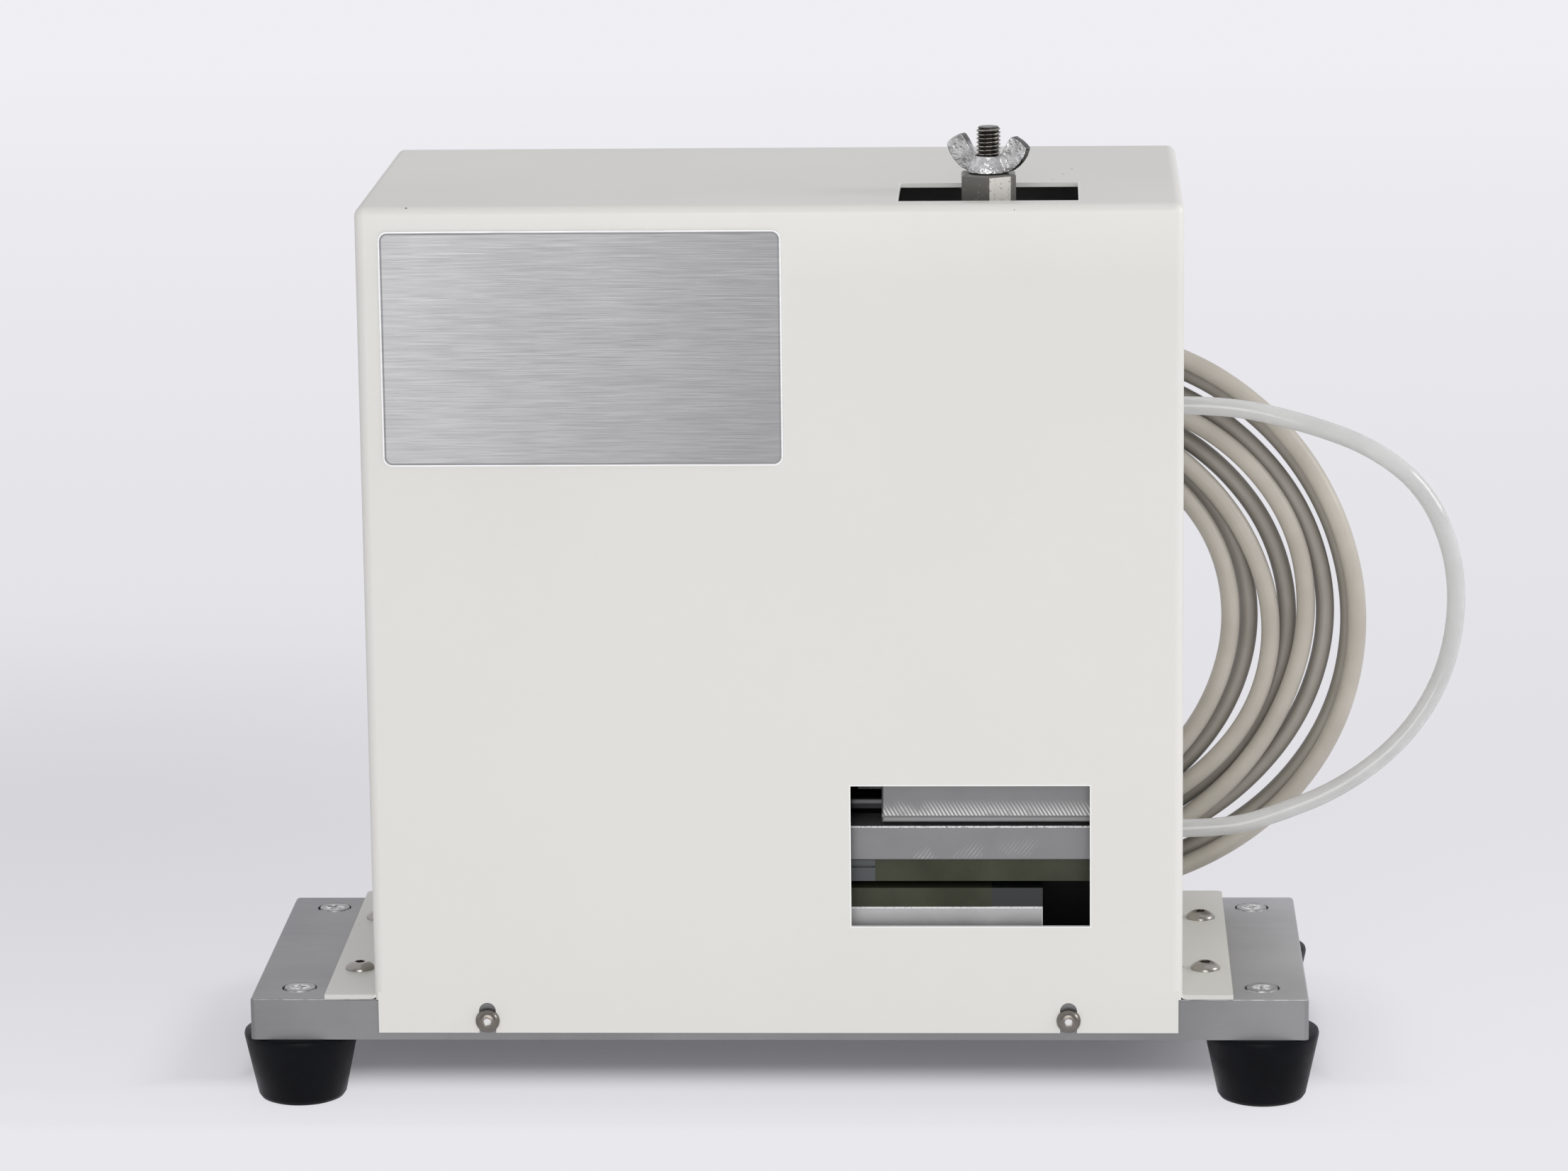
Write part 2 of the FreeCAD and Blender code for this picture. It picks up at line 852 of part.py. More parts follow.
lip_screw_level = "cover_top - sheet - lip_height/2"
cut(
    cover,
    "y",
    "cover_back - sheet",
    "cover_back",
    ("-lip_screw_spacing/2", lip_screw_level, "m_four + hole_clearance"),
    ("lip_screw_spacing/2", lip_screw_level, "m_four + hole_clearance"),
)

front_plate = new_body("front_plate")
add(
    front_plate,
    "y",
    "front_y - label_thickness",
    "front_y",
    rectangle(
        "label_left",
        "cover_bottom + label_bottom",
        "label_left + label_width",
        "cover_bottom + label_bottom + label_height",
    ),
)
soften(front_plate, "Fillet", "label_corner", lambda edge: along(edge, Y_UNIT))

cover_front_screws = new_body("cover_front_screws")
front_screw = round_head(
    cover_front_screws, "m_four_head", "m_four_head_height", "m_four", "m_four_length", "m_four_socket"
)
repeat(cover_front_screws, front_screw, "x", "front_screw_spacing", 2)
place(cover_front_screws, "-front_screw_spacing/2", "front_y", front_screw_level, "front")

cover_flange_screws = new_body("cover_flange_screws")
flange_screw = round_head(
    cover_flange_screws, "m_five_head", "m_five_head_height", "m_five", "m_five_length", "m_five_socket"
)
repeat(cover_flange_screws, flange_screw, "x", flange_spacing, 2, "y", "flange_screw_spacing")
place(
    cover_flange_screws,
    "-(%s)/2" % flange_spacing,
    "plate_middle - flange_screw_spacing/2",
    "plate_top + sheet",
)

rear_panel = new_body("rear_panel")
add(
    rear_panel,
    "y",
    "plate_back",
    "panel_back",
    rectangle(
        "-cover_width/2 + sheet + panel_clearance",
        "plate_top",
        "cover_width/2 - sheet - panel_clearance",
        "cover_top - sheet - panel_clearance",
    ),
    ("gland_x", "gland_level", "gland_neck"),
    ("inlet_x", "inlet_level", "inlet_tube + 2"),
    ("silencer_x", "inlet_level", "silencer_diameter/2"),
    ("-lip_screw_spacing/2", lip_screw_level, "m_four"),
    ("lip_screw_spacing/2", lip_screw_level, "m_four"),
)
add(
    rear_panel,
    "y",
    "plate_back",
    "panel_back",
    rectangle(
        "-cover_width/2 + sheet + panel_clearance",
        "cover_bottom",
        "cover_width/2 - sheet - panel_clearance",
        "plate_top",
    ),
    ("-rear_screw_spacing/2", rear_screw_level, "m_four + hole_clearance"),
    ("0", rear_screw_level, "m_four + hole_clearance"),
    ("rear_screw_spacing/2", rear_screw_level, "m_four + hole_clearance"),
)

rear_screws = new_body("rear_screws")
rear_screw = round_head(
    rear_screws, "m_four_head", "m_four_head_height", "m_four", "m_four_length + sheet", "m_four_socket"
)
repeat(rear_screws, rear_screw, "x", "rear_screw_spacing/2", 3)
place(rear_screws, "-rear_screw_spacing/2", "panel_back", rear_screw_level, "back")

lip_screws = new_body("lip_screws")
lip_screw = round_head(
    lip_screws, "m_four_head", "m_four_head_height", "m_four", "m_four_length", "m_four_socket"
)
repeat(lip_screws, lip_screw, "x", "lip_screw_spacing", 2)
place(lip_screws, "-lip_screw_spacing/2", "cover_back", lip_screw_level, "back")

# ---- frame plate, guides and rack drive -----------------------------------------------------

frame_plate = new_body("frame_plate")
add(
    frame_plate,
    "y",
    "frame_front",
    "frame_back",
    rectangle("frame_left", "plate_top", "frame_right", "plate_top + frame_height"),
)
soften(frame_plate, "Chamfer", "edge_break*2", lambda edge: along(edge, Y_UNIT))
cut(frame_plate, "y", "frame_front", "frame_back", ("pinion_x", "pinion_level", "m_five"))
cut(
    frame_plate,
    "z",
    "plate_top",
    "plate_top + m_five_length",
    *[(x, frame_middle_y, "m_five") for x in frame_bolt_xs],
)

frame_gussets = new_body("frame_gussets")
gusset_corners = [
    ("frame_back", "plate_top"),
    ("frame_back + gusset_reach", "plate_top"),
    ("frame_back + gusset_reach", "plate_top + gusset_thickness"),
    ("frame_back + gusset_thickness", "plate_top + gusset_height"),
    ("frame_back", "plate_top + gusset_height"),
]
gusset_left = "valve_left + valve_length + valve_coil_length + valve_clearance"
gusset = add(frame_gussets, "x", gusset_left, gusset_left + " + gusset_thickness", gusset_corners)
gusset_spacing = "frame_right - gusset_inset - gusset_thickness - (%s)" % gusset_left
repeat(frame_gussets, gusset, "x", gusset_spacing, 2)


def guide_rail(label, left, level):
    """One profiled rail with its row of counterbored holes."""
    rail = new_body(label)
    low = "%s - rail_width/2" % level
    high = "%s + rail_width/2" % level
    rail_face = "frame_front - rail_height"
    bore_bottom = "frame_front - rail_height/2"
    add(rail, "y", rail_face, "frame_front", rectangle(left, low, left + " + rail_length", high))
    groove = "rail_height/3"
    for edge_level, sign in ((low, "+"), (high, "-")):
        cut(
            rail,
            "x",
            left,
            left + " + rail_length",
            [
                ("%s - %s/2" % (bore_bottom, groove), edge_level),
                ("%s + %s/2" % (bore_bottom, groove), edge_level),
                (bore_bottom, "%s %s rail_height/8" % (edge_level, sign)),
            ],
        )
    first = "%s + rail_length/2 - 1.5*rail_hole_pitch" % left
    bore = cut(rail, "y", rail_face, bore_bottom, (first, level, "m_three_head + hole_clearance"))
    hole = cut(rail, "y", rail_face, "frame_front", (first, level, "m_three + hole_clearance"))
    repeat(rail, [bore, hole], "x", "rail_hole_pitch", 4)
    screws = new_body(label + "_screws")
    screw = turn(
        screws,
        [
            ("0", "-rail_height/2 - frame_thickness/2"),
            ("m_three/2", "-rail_height/2 - frame_thickness/2"),
            ("m_three/2", "0"),
            ("m_three_head/2", "0"),
            ("m_three_head/2", "m_three_head_height"),
            ("m_three/2", "m_three_head_height"),
            ("m_three/3", "m_three_head_height/2"),
            ("0", "m_three_head_height/2"),
        ],
    )
    repeat(screws, screw, "x", "rail_hole_pitch", 4)
    place(screws, first, bore_bottom, level, "front")
    cut(
        frame_plate,
        "y",
        "frame_front",
        "frame_front + frame_thickness/2",
        *[("%s + %d*rail_hole_pitch" % (first, i), level, "m_three") for i in range(4)],
    )


def guide_block(label, centre, level):
    """The sliding block that rides on a rail."""
    block = new_body(label)
    low = "%s - guide_block_width/2" % level
    high = "%s + guide_block_width/2" % level
    left = "%s - guide_block_length/2" % centre
    right = "%s + guide_block_length/2" % centre
    add(block, "y", "head_back", "head_back + guide_block_depth", rectangle(left, low, right, high))
    cut(
        block,
        "y",
        "frame_front - rail_height - running_clearance",
        "head_back + guide_block_depth",
        rectangle(
            left,
            "%s - rail_width/2 - running_clearance" % level,
            right,
            "%s + rail_width/2 + running_clearance" % level,
        ),
    )
    soften(
        block,
        "Chamfer",
        "edge_break",
        lambda edge: along(edge, X_UNIT) and at(edge, y=mm("head_back") + mm("guide_block_depth")),
    )


guide_rail("upper_rail", "stud_x - rail_length/2", "upper_guide_level")
guide_rail("lower_rail", "(table_left + table_right)/2 - rail_length/2", "lower_guide_level")
guide_block("upper_guide_block", "stud_x", "upper_guide_level")
guide_block("lower_guide_block", "(table_left + table_right)/2", "lower_guide_level")


def involute(base_radius, angle):
    """A point of the involute of a circle, unrolled by an angle."""
    return (
        base_radius * (math.cos(angle) + angle * math.sin(angle)),
        base_radius * (math.sin(angle) - angle * math.cos(angle)),
    )


def pinion_face():
    """The outline of the pinion, tooth by tooth, as a flat face about the origin."""
    module = mm("gear_module")
    teeth = int(mm("gear_teeth"))
    pressure = math.radians(mm("pressure_angle"))
    pitch_radius = module * teeth / 2
    base_radius = pitch_radius * math.cos(pressure)
    tip_radius = pitch_radius + module * 0.95
    root_radius = pitch_radius - module * 1.25
    tooth_angle = (math.pi * module / 2 - mm("gear_backlash")) / pitch_radius
    half_base = tooth_angle / 2 + math.tan(pressure) - pressure
    flank_steps = 5
    unroll = math.sqrt((tip_radius / base_radius) ** 2 - 1)
    flank = []
    for step in range(flank_steps + 1):
        x, y = involute(base_radius, unroll * step / flank_steps)
        flank.append((math.hypot(x, y), half_base - math.atan2(y, x)))
    edges = []
    last = None
    for tooth in range(teeth):
        middle = 2 * math.pi * tooth / teeth
        rising = [(root_radius, middle - half_base)] + [(r, middle - a) for r, a in flank]
        falling = [(r, middle + a) for r, a in reversed(flank)] + [(root_radius, middle + half_base)]
        for radius, angle in rising + falling:
            point = FreeCAD.Vector(radius * math.cos(angle), radius * math.sin(angle), 0)
            if last is not None:
                edges.append(Part.makeLine(last, point))
            last = point
    edges.append(Part.makeLine(last, edges[0].Vertexes[0].Point))
    return Part.Face(Part.Wire(edges))


pinion = doc.addObject("Part::Feature", "pinion")
pinion.Label = "pinion"
gear_blank = pinion_face().extrude(FreeCAD.Vector(0, 0, mm("gear_width")))
gear_bore = Part.makeCylinder(mm("shaft_diameter") / 2 + mm("running_clearance"), mm("gear_width"))
pinion.Shape = gear_blank.cut(gear_bore)
# One tooth points straight up and one straight down, into a space of each rack.
pinion.Placement = FreeCAD.Placement(
    FreeCAD.Vector(mm("pinion_x"), mm("head_back") + mm("pinion_set_in"), mm("pinion_level")),
    POINTING["back"],
)


def rack(label, level, sign, body_size):
    """A rack beside the pinion, with its teeth pointing at the pinion's axis."""
    bar = new_body(label)
    left = "pinion_x - tooth_pitch*rack_teeth/2"
    root = "%s %s gear_module*1.25" % (level, sign)
    back = "%s %s %s" % (root, sign, body_size)
    low, high = (root, back) if sign == "+" else (back, root)
    add(
        bar,
        "y",
        "head_back",
        "head_back + rack_width",
        rectangle(left, low, left + " + tooth_pitch*rack_teeth", high),
    )
    slope = "gear_module*tan(pressure_angle*1deg)"
    centre = "pinion_x - tooth_pitch*(rack_teeth/2 - 0.5)"
    half_pitch = "(tooth_pitch/4 - gear_backlash/2)"
    foot_half = "(%s + 1.25*%s)" % (half_pitch, slope)
    tip_half = "(%s - 0.95*%s)" % (half_pitch, slope)
    tip = "%s %s -0.95*gear_module" % (level, sign)
    tooth = add(
        bar,
        "y",
        "head_back",
        "head_back + rack_width",
        [
            ("%s - %s" % (centre, foot_half), root),
            ("%s - %s" % (centre, tip_half), tip),
            ("%s + %s" % (centre, tip_half), tip),
            ("%s + %s" % (centre, foot_half), root),
        ],
    )
    repeat(bar, tooth, "x", "tooth_pitch", int(mm("rack_teeth")))


rack("upper_rack", "pinion_level + pitch_radius", "+", "upper_rack_body")
rack("lower_rack", "pinion_level - pitch_radius", "-", "lower_rack_body")

pinion_shaft = new_body("pinion_shaft")
shaft_under_head = "frame_thickness + guide_height - 0.2"
turn(
    pinion_shaft,
    [
        ("0", "0"),
        ("m_five/2", "0"),
        ("m_five/2", "frame_thickness"),
        ("shaft_diameter/2", "frame_thickness"),
        ("shaft_diameter/2", shaft_under_head),
        ("shaft_head/2", shaft_under_head),
        ("shaft_head/2", shaft_under_head + " + shaft_head_height"),
        ("0", shaft_under_head + " + shaft_head_height"),
    ],
)
place(pinion_shaft, "pinion_x", "frame_back", "pinion_level", "front")

pinion_spacer = new_body("pinion_spacer")
add(
    pinion_spacer,
    "y",
    "head_back + pinion_set_in + gear_width + 0.1",
    "frame_front",
    ("pinion_x", "pinion_level", "shaft_head"),
    ("pinion_x", "pinion_level", "shaft_diameter + running_clearance*2"),
)

# ---- upper carriage and its pressure adjustment ---------------------------------------------

upper_carriage = new_body("upper_carriage")
add(
    upper_carriage,
    "z",
    "head_low",
    "head_high",
    rectangle("head_left", "head_front", "head_right", "head_back"),
)
soften(
    upper_carriage,
    "Chamfer",
    "edge_break",
    lambda edge: at(edge, y=mm("head_front")) or at(edge, z=mm("head_high")),
)
cut(
    upper_carriage,
    "z",
    "head_low + head_groove_rise",
    "head_low + head_groove_rise + head_groove",
    rectangle("head_left", "head_front", "head_right", "head_front + head_groove"),
)
cut(upper_carriage, "z", "head_low", "head_high", ("stud_x", "stud_y", "m_eight + 2*hole_clearance"))
cut(
    upper_carriage,
    "z",
    "head_high - column_spigot_depth",
    "head_high",
    ("stud_x", "stud_y", "column_spigot"),
)
cut(
    upper_carriage,
    "z",
    "head_low",
    "head_high",
    ("stud_x - pin_spacing/2", "stud_y", "pin_diameter + 2*running_clearance"),
    ("stud_x + pin_spacing/2", "stud_y", "pin_diameter + 2*running_clearance"),
)
cut(
    upper_carriage,
    "z",
    "head_low",
    "head_low + spring_pocket_up",
    ("stud_x - spring_spacing/2", "stud_y", "spring_pocket"),
    ("stud_x + spring_spacing/2", "stud_y", "spring_pocket"),
)
cut(
    upper_carriage,
    "x",
    "head_left",
    "head_left + rod_seat",
    ("rod_y", "rod_level", "rod_diameter"),
)

adjusting_column = new_body("adjusting_column")
add(adjusting_column, "z", "head_high", "column_top", hexagon("column_flats"))
soften(
    adjusting_column,
    "Chamfer",
    "edge_break",
    lambda edge: at(edge, z=mm("column_top")),
)
add(adjusting_column, "z", "head_high - column_spigot_depth", "head_high", ("0", "0", "column_spigot"))
cut(
    adjusting_column,
    "z",
    "head_high - column_spigot_depth",
    "column_top",
    ("0", "0", "m_eight + 2*hole_clearance"),
)
place(adjusting_column, "stud_x", "stud_y", "0")
adjusting_column.setExpression(".Placement.Rotation.Angle", bound("column_turn * 1deg"))
adjusting_column.setExpression(".Placement.Rotation.Axis.z", "1")

draw_stud = new_body("draw_stud")
turn(
    draw_stud,
    [
        ("0", "platen_high - stud_seat"),
        ("m_eight/2", "platen_high - stud_seat"),
        ("m_eight/2", "stud_top - edge_break*2"),
        ("m_eight/2 - edge_break*2", "stud_top"),
        ("0", "stud_top"),
    ],
)
place(draw_stud, "stud_x", "stud_y", "0")

wing_nut = new_body("wing_nut")
turn(
    wing_nut,
    [
        ("m_eight/2 + running_clearance", "0"),
        ("wing_boss/2", "0"),
        ("wing_boss/2", "wing_boss_height*0.2"),
        ("wing_boss_top/2", "wing_boss_height"),
        ("m_eight/2 + running_clearance", "wing_boss_height"),
    ],
)
wing_corners = [
    ("m_eight/2 + 0.8", "0.6"),
    ("wing_boss/2 - 0.5", "0.6"),
    ("wing_span*0.38", "wing_height*0.36"),
    ("wing_span*0.47", "wing_height*0.58"),
    ("wing_span/2", "wing_height*0.78"),
    ("wing_span*0.485", "wing_height*0.95"),
    ("wing_span*0.44", "wing_height"),
    ("wing_span*0.37", "wing_height*0.96"),
    ("wing_span*0.27", "wing_height*0.66"),
    ("wing_boss_top/2", "wing_boss_height"),
    ("m_eight/2 + 0.8", "wing_boss_height"),
]
for side in ("", "-"):
    wing = [("%s(%s)" % (side, across), up) for across, up in wing_corners]
    add(wing_nut, "y", "-wing_thickness/2", "wing_thickness/2", wing)
place(wing_nut, "stud_x", "stud_y", "column_top")
wing_nut.setExpression(".Placement.Rotation.Angle", bound("wing_turn * 1deg"))
wing_nut.setExpression(".Placement.Rotation.Axis.z", "1")

upper_platen = new_body("upper_platen")
add(
    upper_platen,
    "z",
    "platen_low",
    "platen_high",
    rectangle("platen_left", "head_front", "platen_right", "platen_back"),
)
soften(
    upper_platen,
    "Chamfer",
    "edge_break",
    lambda edge: at(edge, y=mm("head_front")) and along(edge, X_UNIT),
)
add(
    upper_platen,
    "z",
    "upper_pad_low",
    "platen_low",
    rectangle("platen_left", "head_front + pad_setback", "platen_left + stop_length", "platen_back"),
)
cut(
    upper_platen,
    "z",
    "platen_low - stop_groove - edge_break",
    "platen_low - stop_groove + edge_break/2",
    rectangle(
        "platen_left",
        "head_front + pad_setback",
        "platen_left + stop_length",
        "head_front + pad_setback + 2*edge_break",
    ),
)
cut(
    upper_platen,
    "z",
    "platen_high - stud_seat",
    "platen_high",
    ("stud_x", "stud_y", "m_eight"),
    ("stud_x - pin_spacing/2", "stud_y", "pin_diameter"),
    ("stud_x + pin_spacing/2", "stud_y", "pin_diameter"),
)
cut(
    upper_platen,
    "z",
    "platen_high - spring_pocket_down",
    "platen_high",
    ("stud_x - spring_spacing/2", "stud_y", "spring_pocket"),
    ("stud_x + spring_spacing/2", "stud_y", "spring_pocket"),
)

upper_pad = new_body("upper_pad")
add(
    upper_pad,
    "z",
    "upper_pad_low",
    "platen_low",
    rectangle("platen_left + stop_length", "head_front + pad_setback", "platen_right", "platen_back"),
)

guide_pins = new_body("guide_pins")
pin = turn(
    guide_pins,
    [
        ("0", "0"),
        ("pin_diameter/2", "0"),
        ("pin_diameter/2", "pin_length - edge_break"),
        ("pin_diameter/2 - edge_break", "pin_length"),
        ("0", "pin_length"),
    ],
)
repeat(guide_pins, pin, "x", "pin_spacing", 2)
place(guide_pins, "stud_x - pin_spacing/2", "stud_y", "platen_high - stud_seat")


def spring_wire(length):
    """A compression spring standing on its end, with closed coils at both ends."""
    turns = 5
    wire = mm("spring_wire")
    radius = mm("spring_diameter") / 2 - wire / 2
    helix = Part.makeHelix((length - wire) / turns, length - wire, radius)
    section = Part.Wire(Part.makeCircle(wire / 2, FreeCAD.Vector(radius, 0, 0), Y_UNIT))
    coil = Part.Wire(helix.Edges).makePipeShell([section], True, True)
    coil.translate(FreeCAD.Vector(0, 0, wire / 2))
    return coil


spring_room = mm("spring_pocket_up") + mm("lift_gap") + mm("spring_pocket_down")
spring_end_play = 0.05
one_spring = spring_wire(spring_room - 2 * spring_end_play)
other_spring = one_spring.copy()
other_spring.translate(FreeCAD.Vector(mm("spring_spacing"), 0, 0))
pressure_springs = doc.addObject("Part::Feature", "pressure_springs")
pressure_springs.Label = "pressure_springs"
pressure_springs.Shape = Part.makeCompound([one_spring, other_spring])
pressure_springs.Placement = FreeCAD.Placement(
    FreeCAD.Vector(
        mm("stud_x") - mm("spring_spacing") / 2,
        mm("stud_y"),
        mm("platen_high") - mm("spring_pocket_down") + spring_end_play,
    ),
    FreeCAD.Rotation(),
)

# ---- lower carriage -------------------------------------------------------------------------

lower_carriage = new_body("lower_carriage")
add(
    lower_carriage,
    "x",
    "table_left",
    "table_right",
    [
        ("head_front", "table_low"),
        ("head_back - lower_web", "table_low"),
        ("head_back - lower_web", "table_foot"),
        ("head_back", "table_foot"),
        ("head_back", "table_high"),
        ("head_front", "table_high"),
    ],
)
soften(
    lower_carriage,
    "Chamfer",
    "edge_break",
    lambda edge: at(edge, y=mm("head_front")),
)
add(
    lower_carriage,
    "z",
    "table_high",
    "pad_level",
    rectangle("table_right - stop_length", "head_front + pad_setback", "table_right", "head_back - 1"),
)

lower_pad = new_body("lower_pad")
add(
    lower_pad,
    "z",
    "table_high",
    "pad_level",
    rectangle("table_left", "head_front + pad_setback", "table_right - stop_length", "head_back - 1"),
)

# ---- air cylinder ---------------------------------------------------------------------------

cylinder_tube = new_body("cylinder_tube")
add(
    cylinder_tube,
    "x",
    "chamber_left",
    "cap_left",
    ("rod_y", "rod_level", "cylinder_outside"),
    ("rod_y", "rod_level", "cylinder_bore"),
)

cylinder_caps = new_body("cylinder_caps")
add(
    cylinder_caps,
    "x",
    "cap_left",
    "bracket_x",
    ("rod_y", "rod_level", "cylinder_cap_diameter"),
    ("rod_y", "rod_level", "rod_diameter + 2*running_clearance"),
)
add(
    cylinder_caps,
    "x",
    "bracket_x",
    "bracket_right + cylinder_nut_length",
    ("rod_y", "rod_level", "cylinder_neck"),
    ("rod_y", "rod_level", "rod_diameter + 2*running_clearance"),
)
add(
    cylinder_caps,
    "x",
    "chamber_left - cylinder_cap_length",
    "chamber_left",
    ("rod_y", "rod_level", "cylinder_cap_diameter"),
)
add(
    cylinder_caps,
    "x",
    "chamber_left - cylinder_cap_length - 7",
    "chamber_left - cylinder_cap_length",
    ("rod_y", "rod_level", "cylinder_cap_diameter/2"),
)

cylinder_nut = new_body("cylinder_nut")
add(
    cylinder_nut,
    "x",
    "bracket_right",
    "bracket_right + cylinder_nut_length",
    hexagon("cylinder_nut", "rod_y", "rod_level"),
    ("rod_y", "rod_level", "cylinder_neck"),
)

piston_rod = new_body("piston_rod")
add(
    piston_rod,
    "x",
    "cap_left - piston_place",
    "head_left + rod_seat",
    ("rod_y", "rod_level", "rod_diameter"),
)
add(
    piston_rod,
    "x",
    "cap_left - piston_place - piston_length",
    "cap_left - piston_place",
    ("rod_y", "rod_level", "cylinder_bore - 2*running_clearance"),
)

bracket_hole_x = "frame_left + bracket_hole_inset"
bracket_holes = [
    (bracket_hole_x, "bracket_level + bracket_hole_margin", "m_five"),
    (bracket_hole_x, "bracket_top - bracket_hole_margin", "m_five"),
]

cylinder_bracket = new_body("cylinder_bracket")
add(
    cylinder_bracket,
    "x",
    "bracket_x",
    "bracket_right",
    rectangle("rod_y - bracket_width/2", "bracket_level", "frame_front", "bracket_top"),
    ("rod_y", "rod_level", "cylinder_neck"),
)
add(
    cylinder_bracket,
    "y",
    "frame_front - bracket_thickness",
    "frame_front",
    rectangle("frame_left + 1", "bracket_level", "bracket_x", "bracket_top"),
    *bracket_holes,
)
cut(
    frame_plate,
    "y",
    "frame_front",
    "frame_front + m_five_length - bracket_thickness",
    *bracket_holes,
)

bracket_screws = new_body("bracket_screws")
bracket_screw = round_head(
    bracket_screws, "m_five_head", "m_five_head_height", "m_five", "m_five_length", "m_five_socket"
)
repeat(bracket_screws, bracket_screw, "y", "bracket_top - bracket_level - 2*bracket_hole_margin", 2)
place(
    bracket_screws,
    bracket_hole_x,
    "frame_front - bracket_thickness",
    "bracket_level + bracket_hole_margin",
    "front",
)

port_level = "rod_level + cylinder_cap_diameter/2 - port_flat"
port_xs = ["chamber_left - cylinder_cap_length/2", "cap_left + cylinder_cap_length/2"]
cut(
    cylinder_caps,
    "z",
    port_level,
    port_level + " + port_flat",
    *[(x, "rod_y", "port_diameter + 1") for x in port_xs],
)

cylinder_ports = new_body("cylinder_ports")
port = turn(
    cylinder_ports,
    [
        ("port_diameter/5", "0"),
        ("port_diameter/3", "0"),
        ("port_diameter/3", "port_height*0.15"),
        ("port_diameter/2", "port_height*0.15"),
        ("port_diameter/2", "port_height*0.75"),
        ("port_diameter*0.42", "port_height*0.78"),
        ("port_diameter*0.42", "port_height"),
        ("port_diameter/5", "port_height"),
    ],
)
repeat(cylinder_ports, port, "x", "cylinder_chamber + cylinder_cap_length", 2)
place(cylinder_ports, port_xs[0], "rod_y", port_level)

# ---- valve, rear fittings and grommets ------------------------------------------------------

valve_body = new_body("valve_body")
valve_y = "front_y + valve_back"
add(
    valve_body,
    "z",
    "plate_top",
    "plate_top + valve_height",
    rectangle(
        "valve_left",
        valve_y + " - valve_width/2",
        "valve_left + valve_length",
        valve_y + " + valve_width/2",
    ),
)
soften(valve_body, "Fillet", "edge_break*3", lambda edge: at(edge, z=mm("plate_top") + mm("valve_height")))

valve_coil = new_body("valve_coil")
add(
    valve_coil,
    "x",
    "valve_left + valve_length",
    "valve_left + valve_length + valve_coil_length",
    rectangle(
        valve_y + " - valve_width/2 + 0.5",
        "plate_top + 4",
        valve_y + " + valve_width/2 - 0.5",
        "plate_top + 4 + valve_coil_height",
    ),
)
soften(valve_coil, "Fillet", "edge_break*4", lambda edge: along(edge, X_UNIT))

valve_ports = new_body("valve_ports")
valve_port = turn(
    valve_ports,
    [
        ("port_diameter/5", "0"),
        ("port_diameter/2", "0"),
        ("port_diameter/2", "port_height*0.75"),
        ("port_diameter*0.42", "port_height*0.78"),
        ("port_diameter*0.42", "port_height"),
        ("port_diameter/5", "port_height"),
    ],
)
repeat(valve_ports, valve_port, "x", "valve_length/4", 3)
place(valve_ports, "valve_left + valve_length/4", valve_y, "plate_top + valve_height")

cable_gland = new_body("cable_gland")
turn(
    cable_gland,
    [
        ("cable_diameter/2", "-6"),
        ("gland_neck/2", "-6"),
        ("gland_neck/2", "0"),
        ("gland_hex*0.5", "0"),
        ("gland_hex*0.5", "gland_length*0.7"),
        ("gland_hex*0.43", "gland_length*0.9"),
        ("gland_hex*0.32", "gland_length"),
        ("cable_diameter/2", "gland_length"),
    ],
)
place(cable_gland, "gland_x", "panel_back", "gland_level", "back")

gland_locknut = new_body("gland_locknut")
nut_and_washer(gland_locknut, "gland_hex - 2", "4", "gland_neck")
place(gland_locknut, "gland_x", "plate_back", "gland_level", "front")

air_inlet = new_body("air_inlet")
turn(
    air_inlet,
    [
        ("0", "-6"),
        ("inlet_tube/2 + 1", "-6"),
        ("inlet_tube/2 + 1", "0"),
        ("inlet_hex/2", "0"),
        ("inlet_hex/2", "inlet_length*0.7"),
        ("inlet_hex*0.43", "inlet_length*0.72"),
        ("inlet_hex*0.43", "inlet_length"),
        ("inlet_tube/2 + 0.05", "inlet_length"),
        ("inlet_tube/2 + 0.05", "inlet_length - inlet_tube_depth"),
        ("0", "inlet_length - inlet_tube_depth"),
    ],
)
place(air_inlet, "inlet_x", "panel_back", "inlet_level", "back")

inlet_locknut = new_body("inlet_locknut")
nut_and_washer(inlet_locknut, "inlet_hex", "4", "inlet_tube + 2")
place(inlet_locknut, "inlet_x", "plate_back", "inlet_level", "front")

exhaust_silencer = new_body("exhaust_silencer")
turn(
    exhaust_silencer,
    [
        ("0", "-6"),
        ("silencer_diameter/4", "-6"),
        ("silencer_diameter/4", "0"),
        ("silencer_diameter/2", "0"),
        ("silencer_diameter/2", "silencer_length*0.3"),
        ("silencer_diameter*0.42", "silencer_length*0.35"),
        ("silencer_diameter*0.42", "silencer_length*0.85"),
        ("silencer_diameter*0.25", "silencer_length"),
        ("0", "silencer_length"),
    ],
)
place(exhaust_silencer, "silencer_x", "panel_back", "inlet_level", "back")

hose_grommets = new_body("hose_grommets")
grommet = turn(
    hose_grommets,
    [
        ("0", "-sheet - grommet_lip"),
        ("grommet_diameter/2", "-sheet - grommet_lip"),
        ("grommet_diameter/2", "-sheet"),
        ("grommet_neck/2", "-sheet"),
        ("grommet_neck/2", "0"),
        ("grommet_diameter/2", "0"),
        ("grommet_diameter/2 - 0.5", "grommet_lip"),
        ("0", "grommet_lip"),
    ],
)
repeat(hose_grommets, grommet, "x", "hose_upper_level - hose_lower_level", 2)
place(hose_grommets, "wall_right", "hose_y", "hose_upper_level", "right")

# ---- hose and cable -------------------------------------------------------------------------


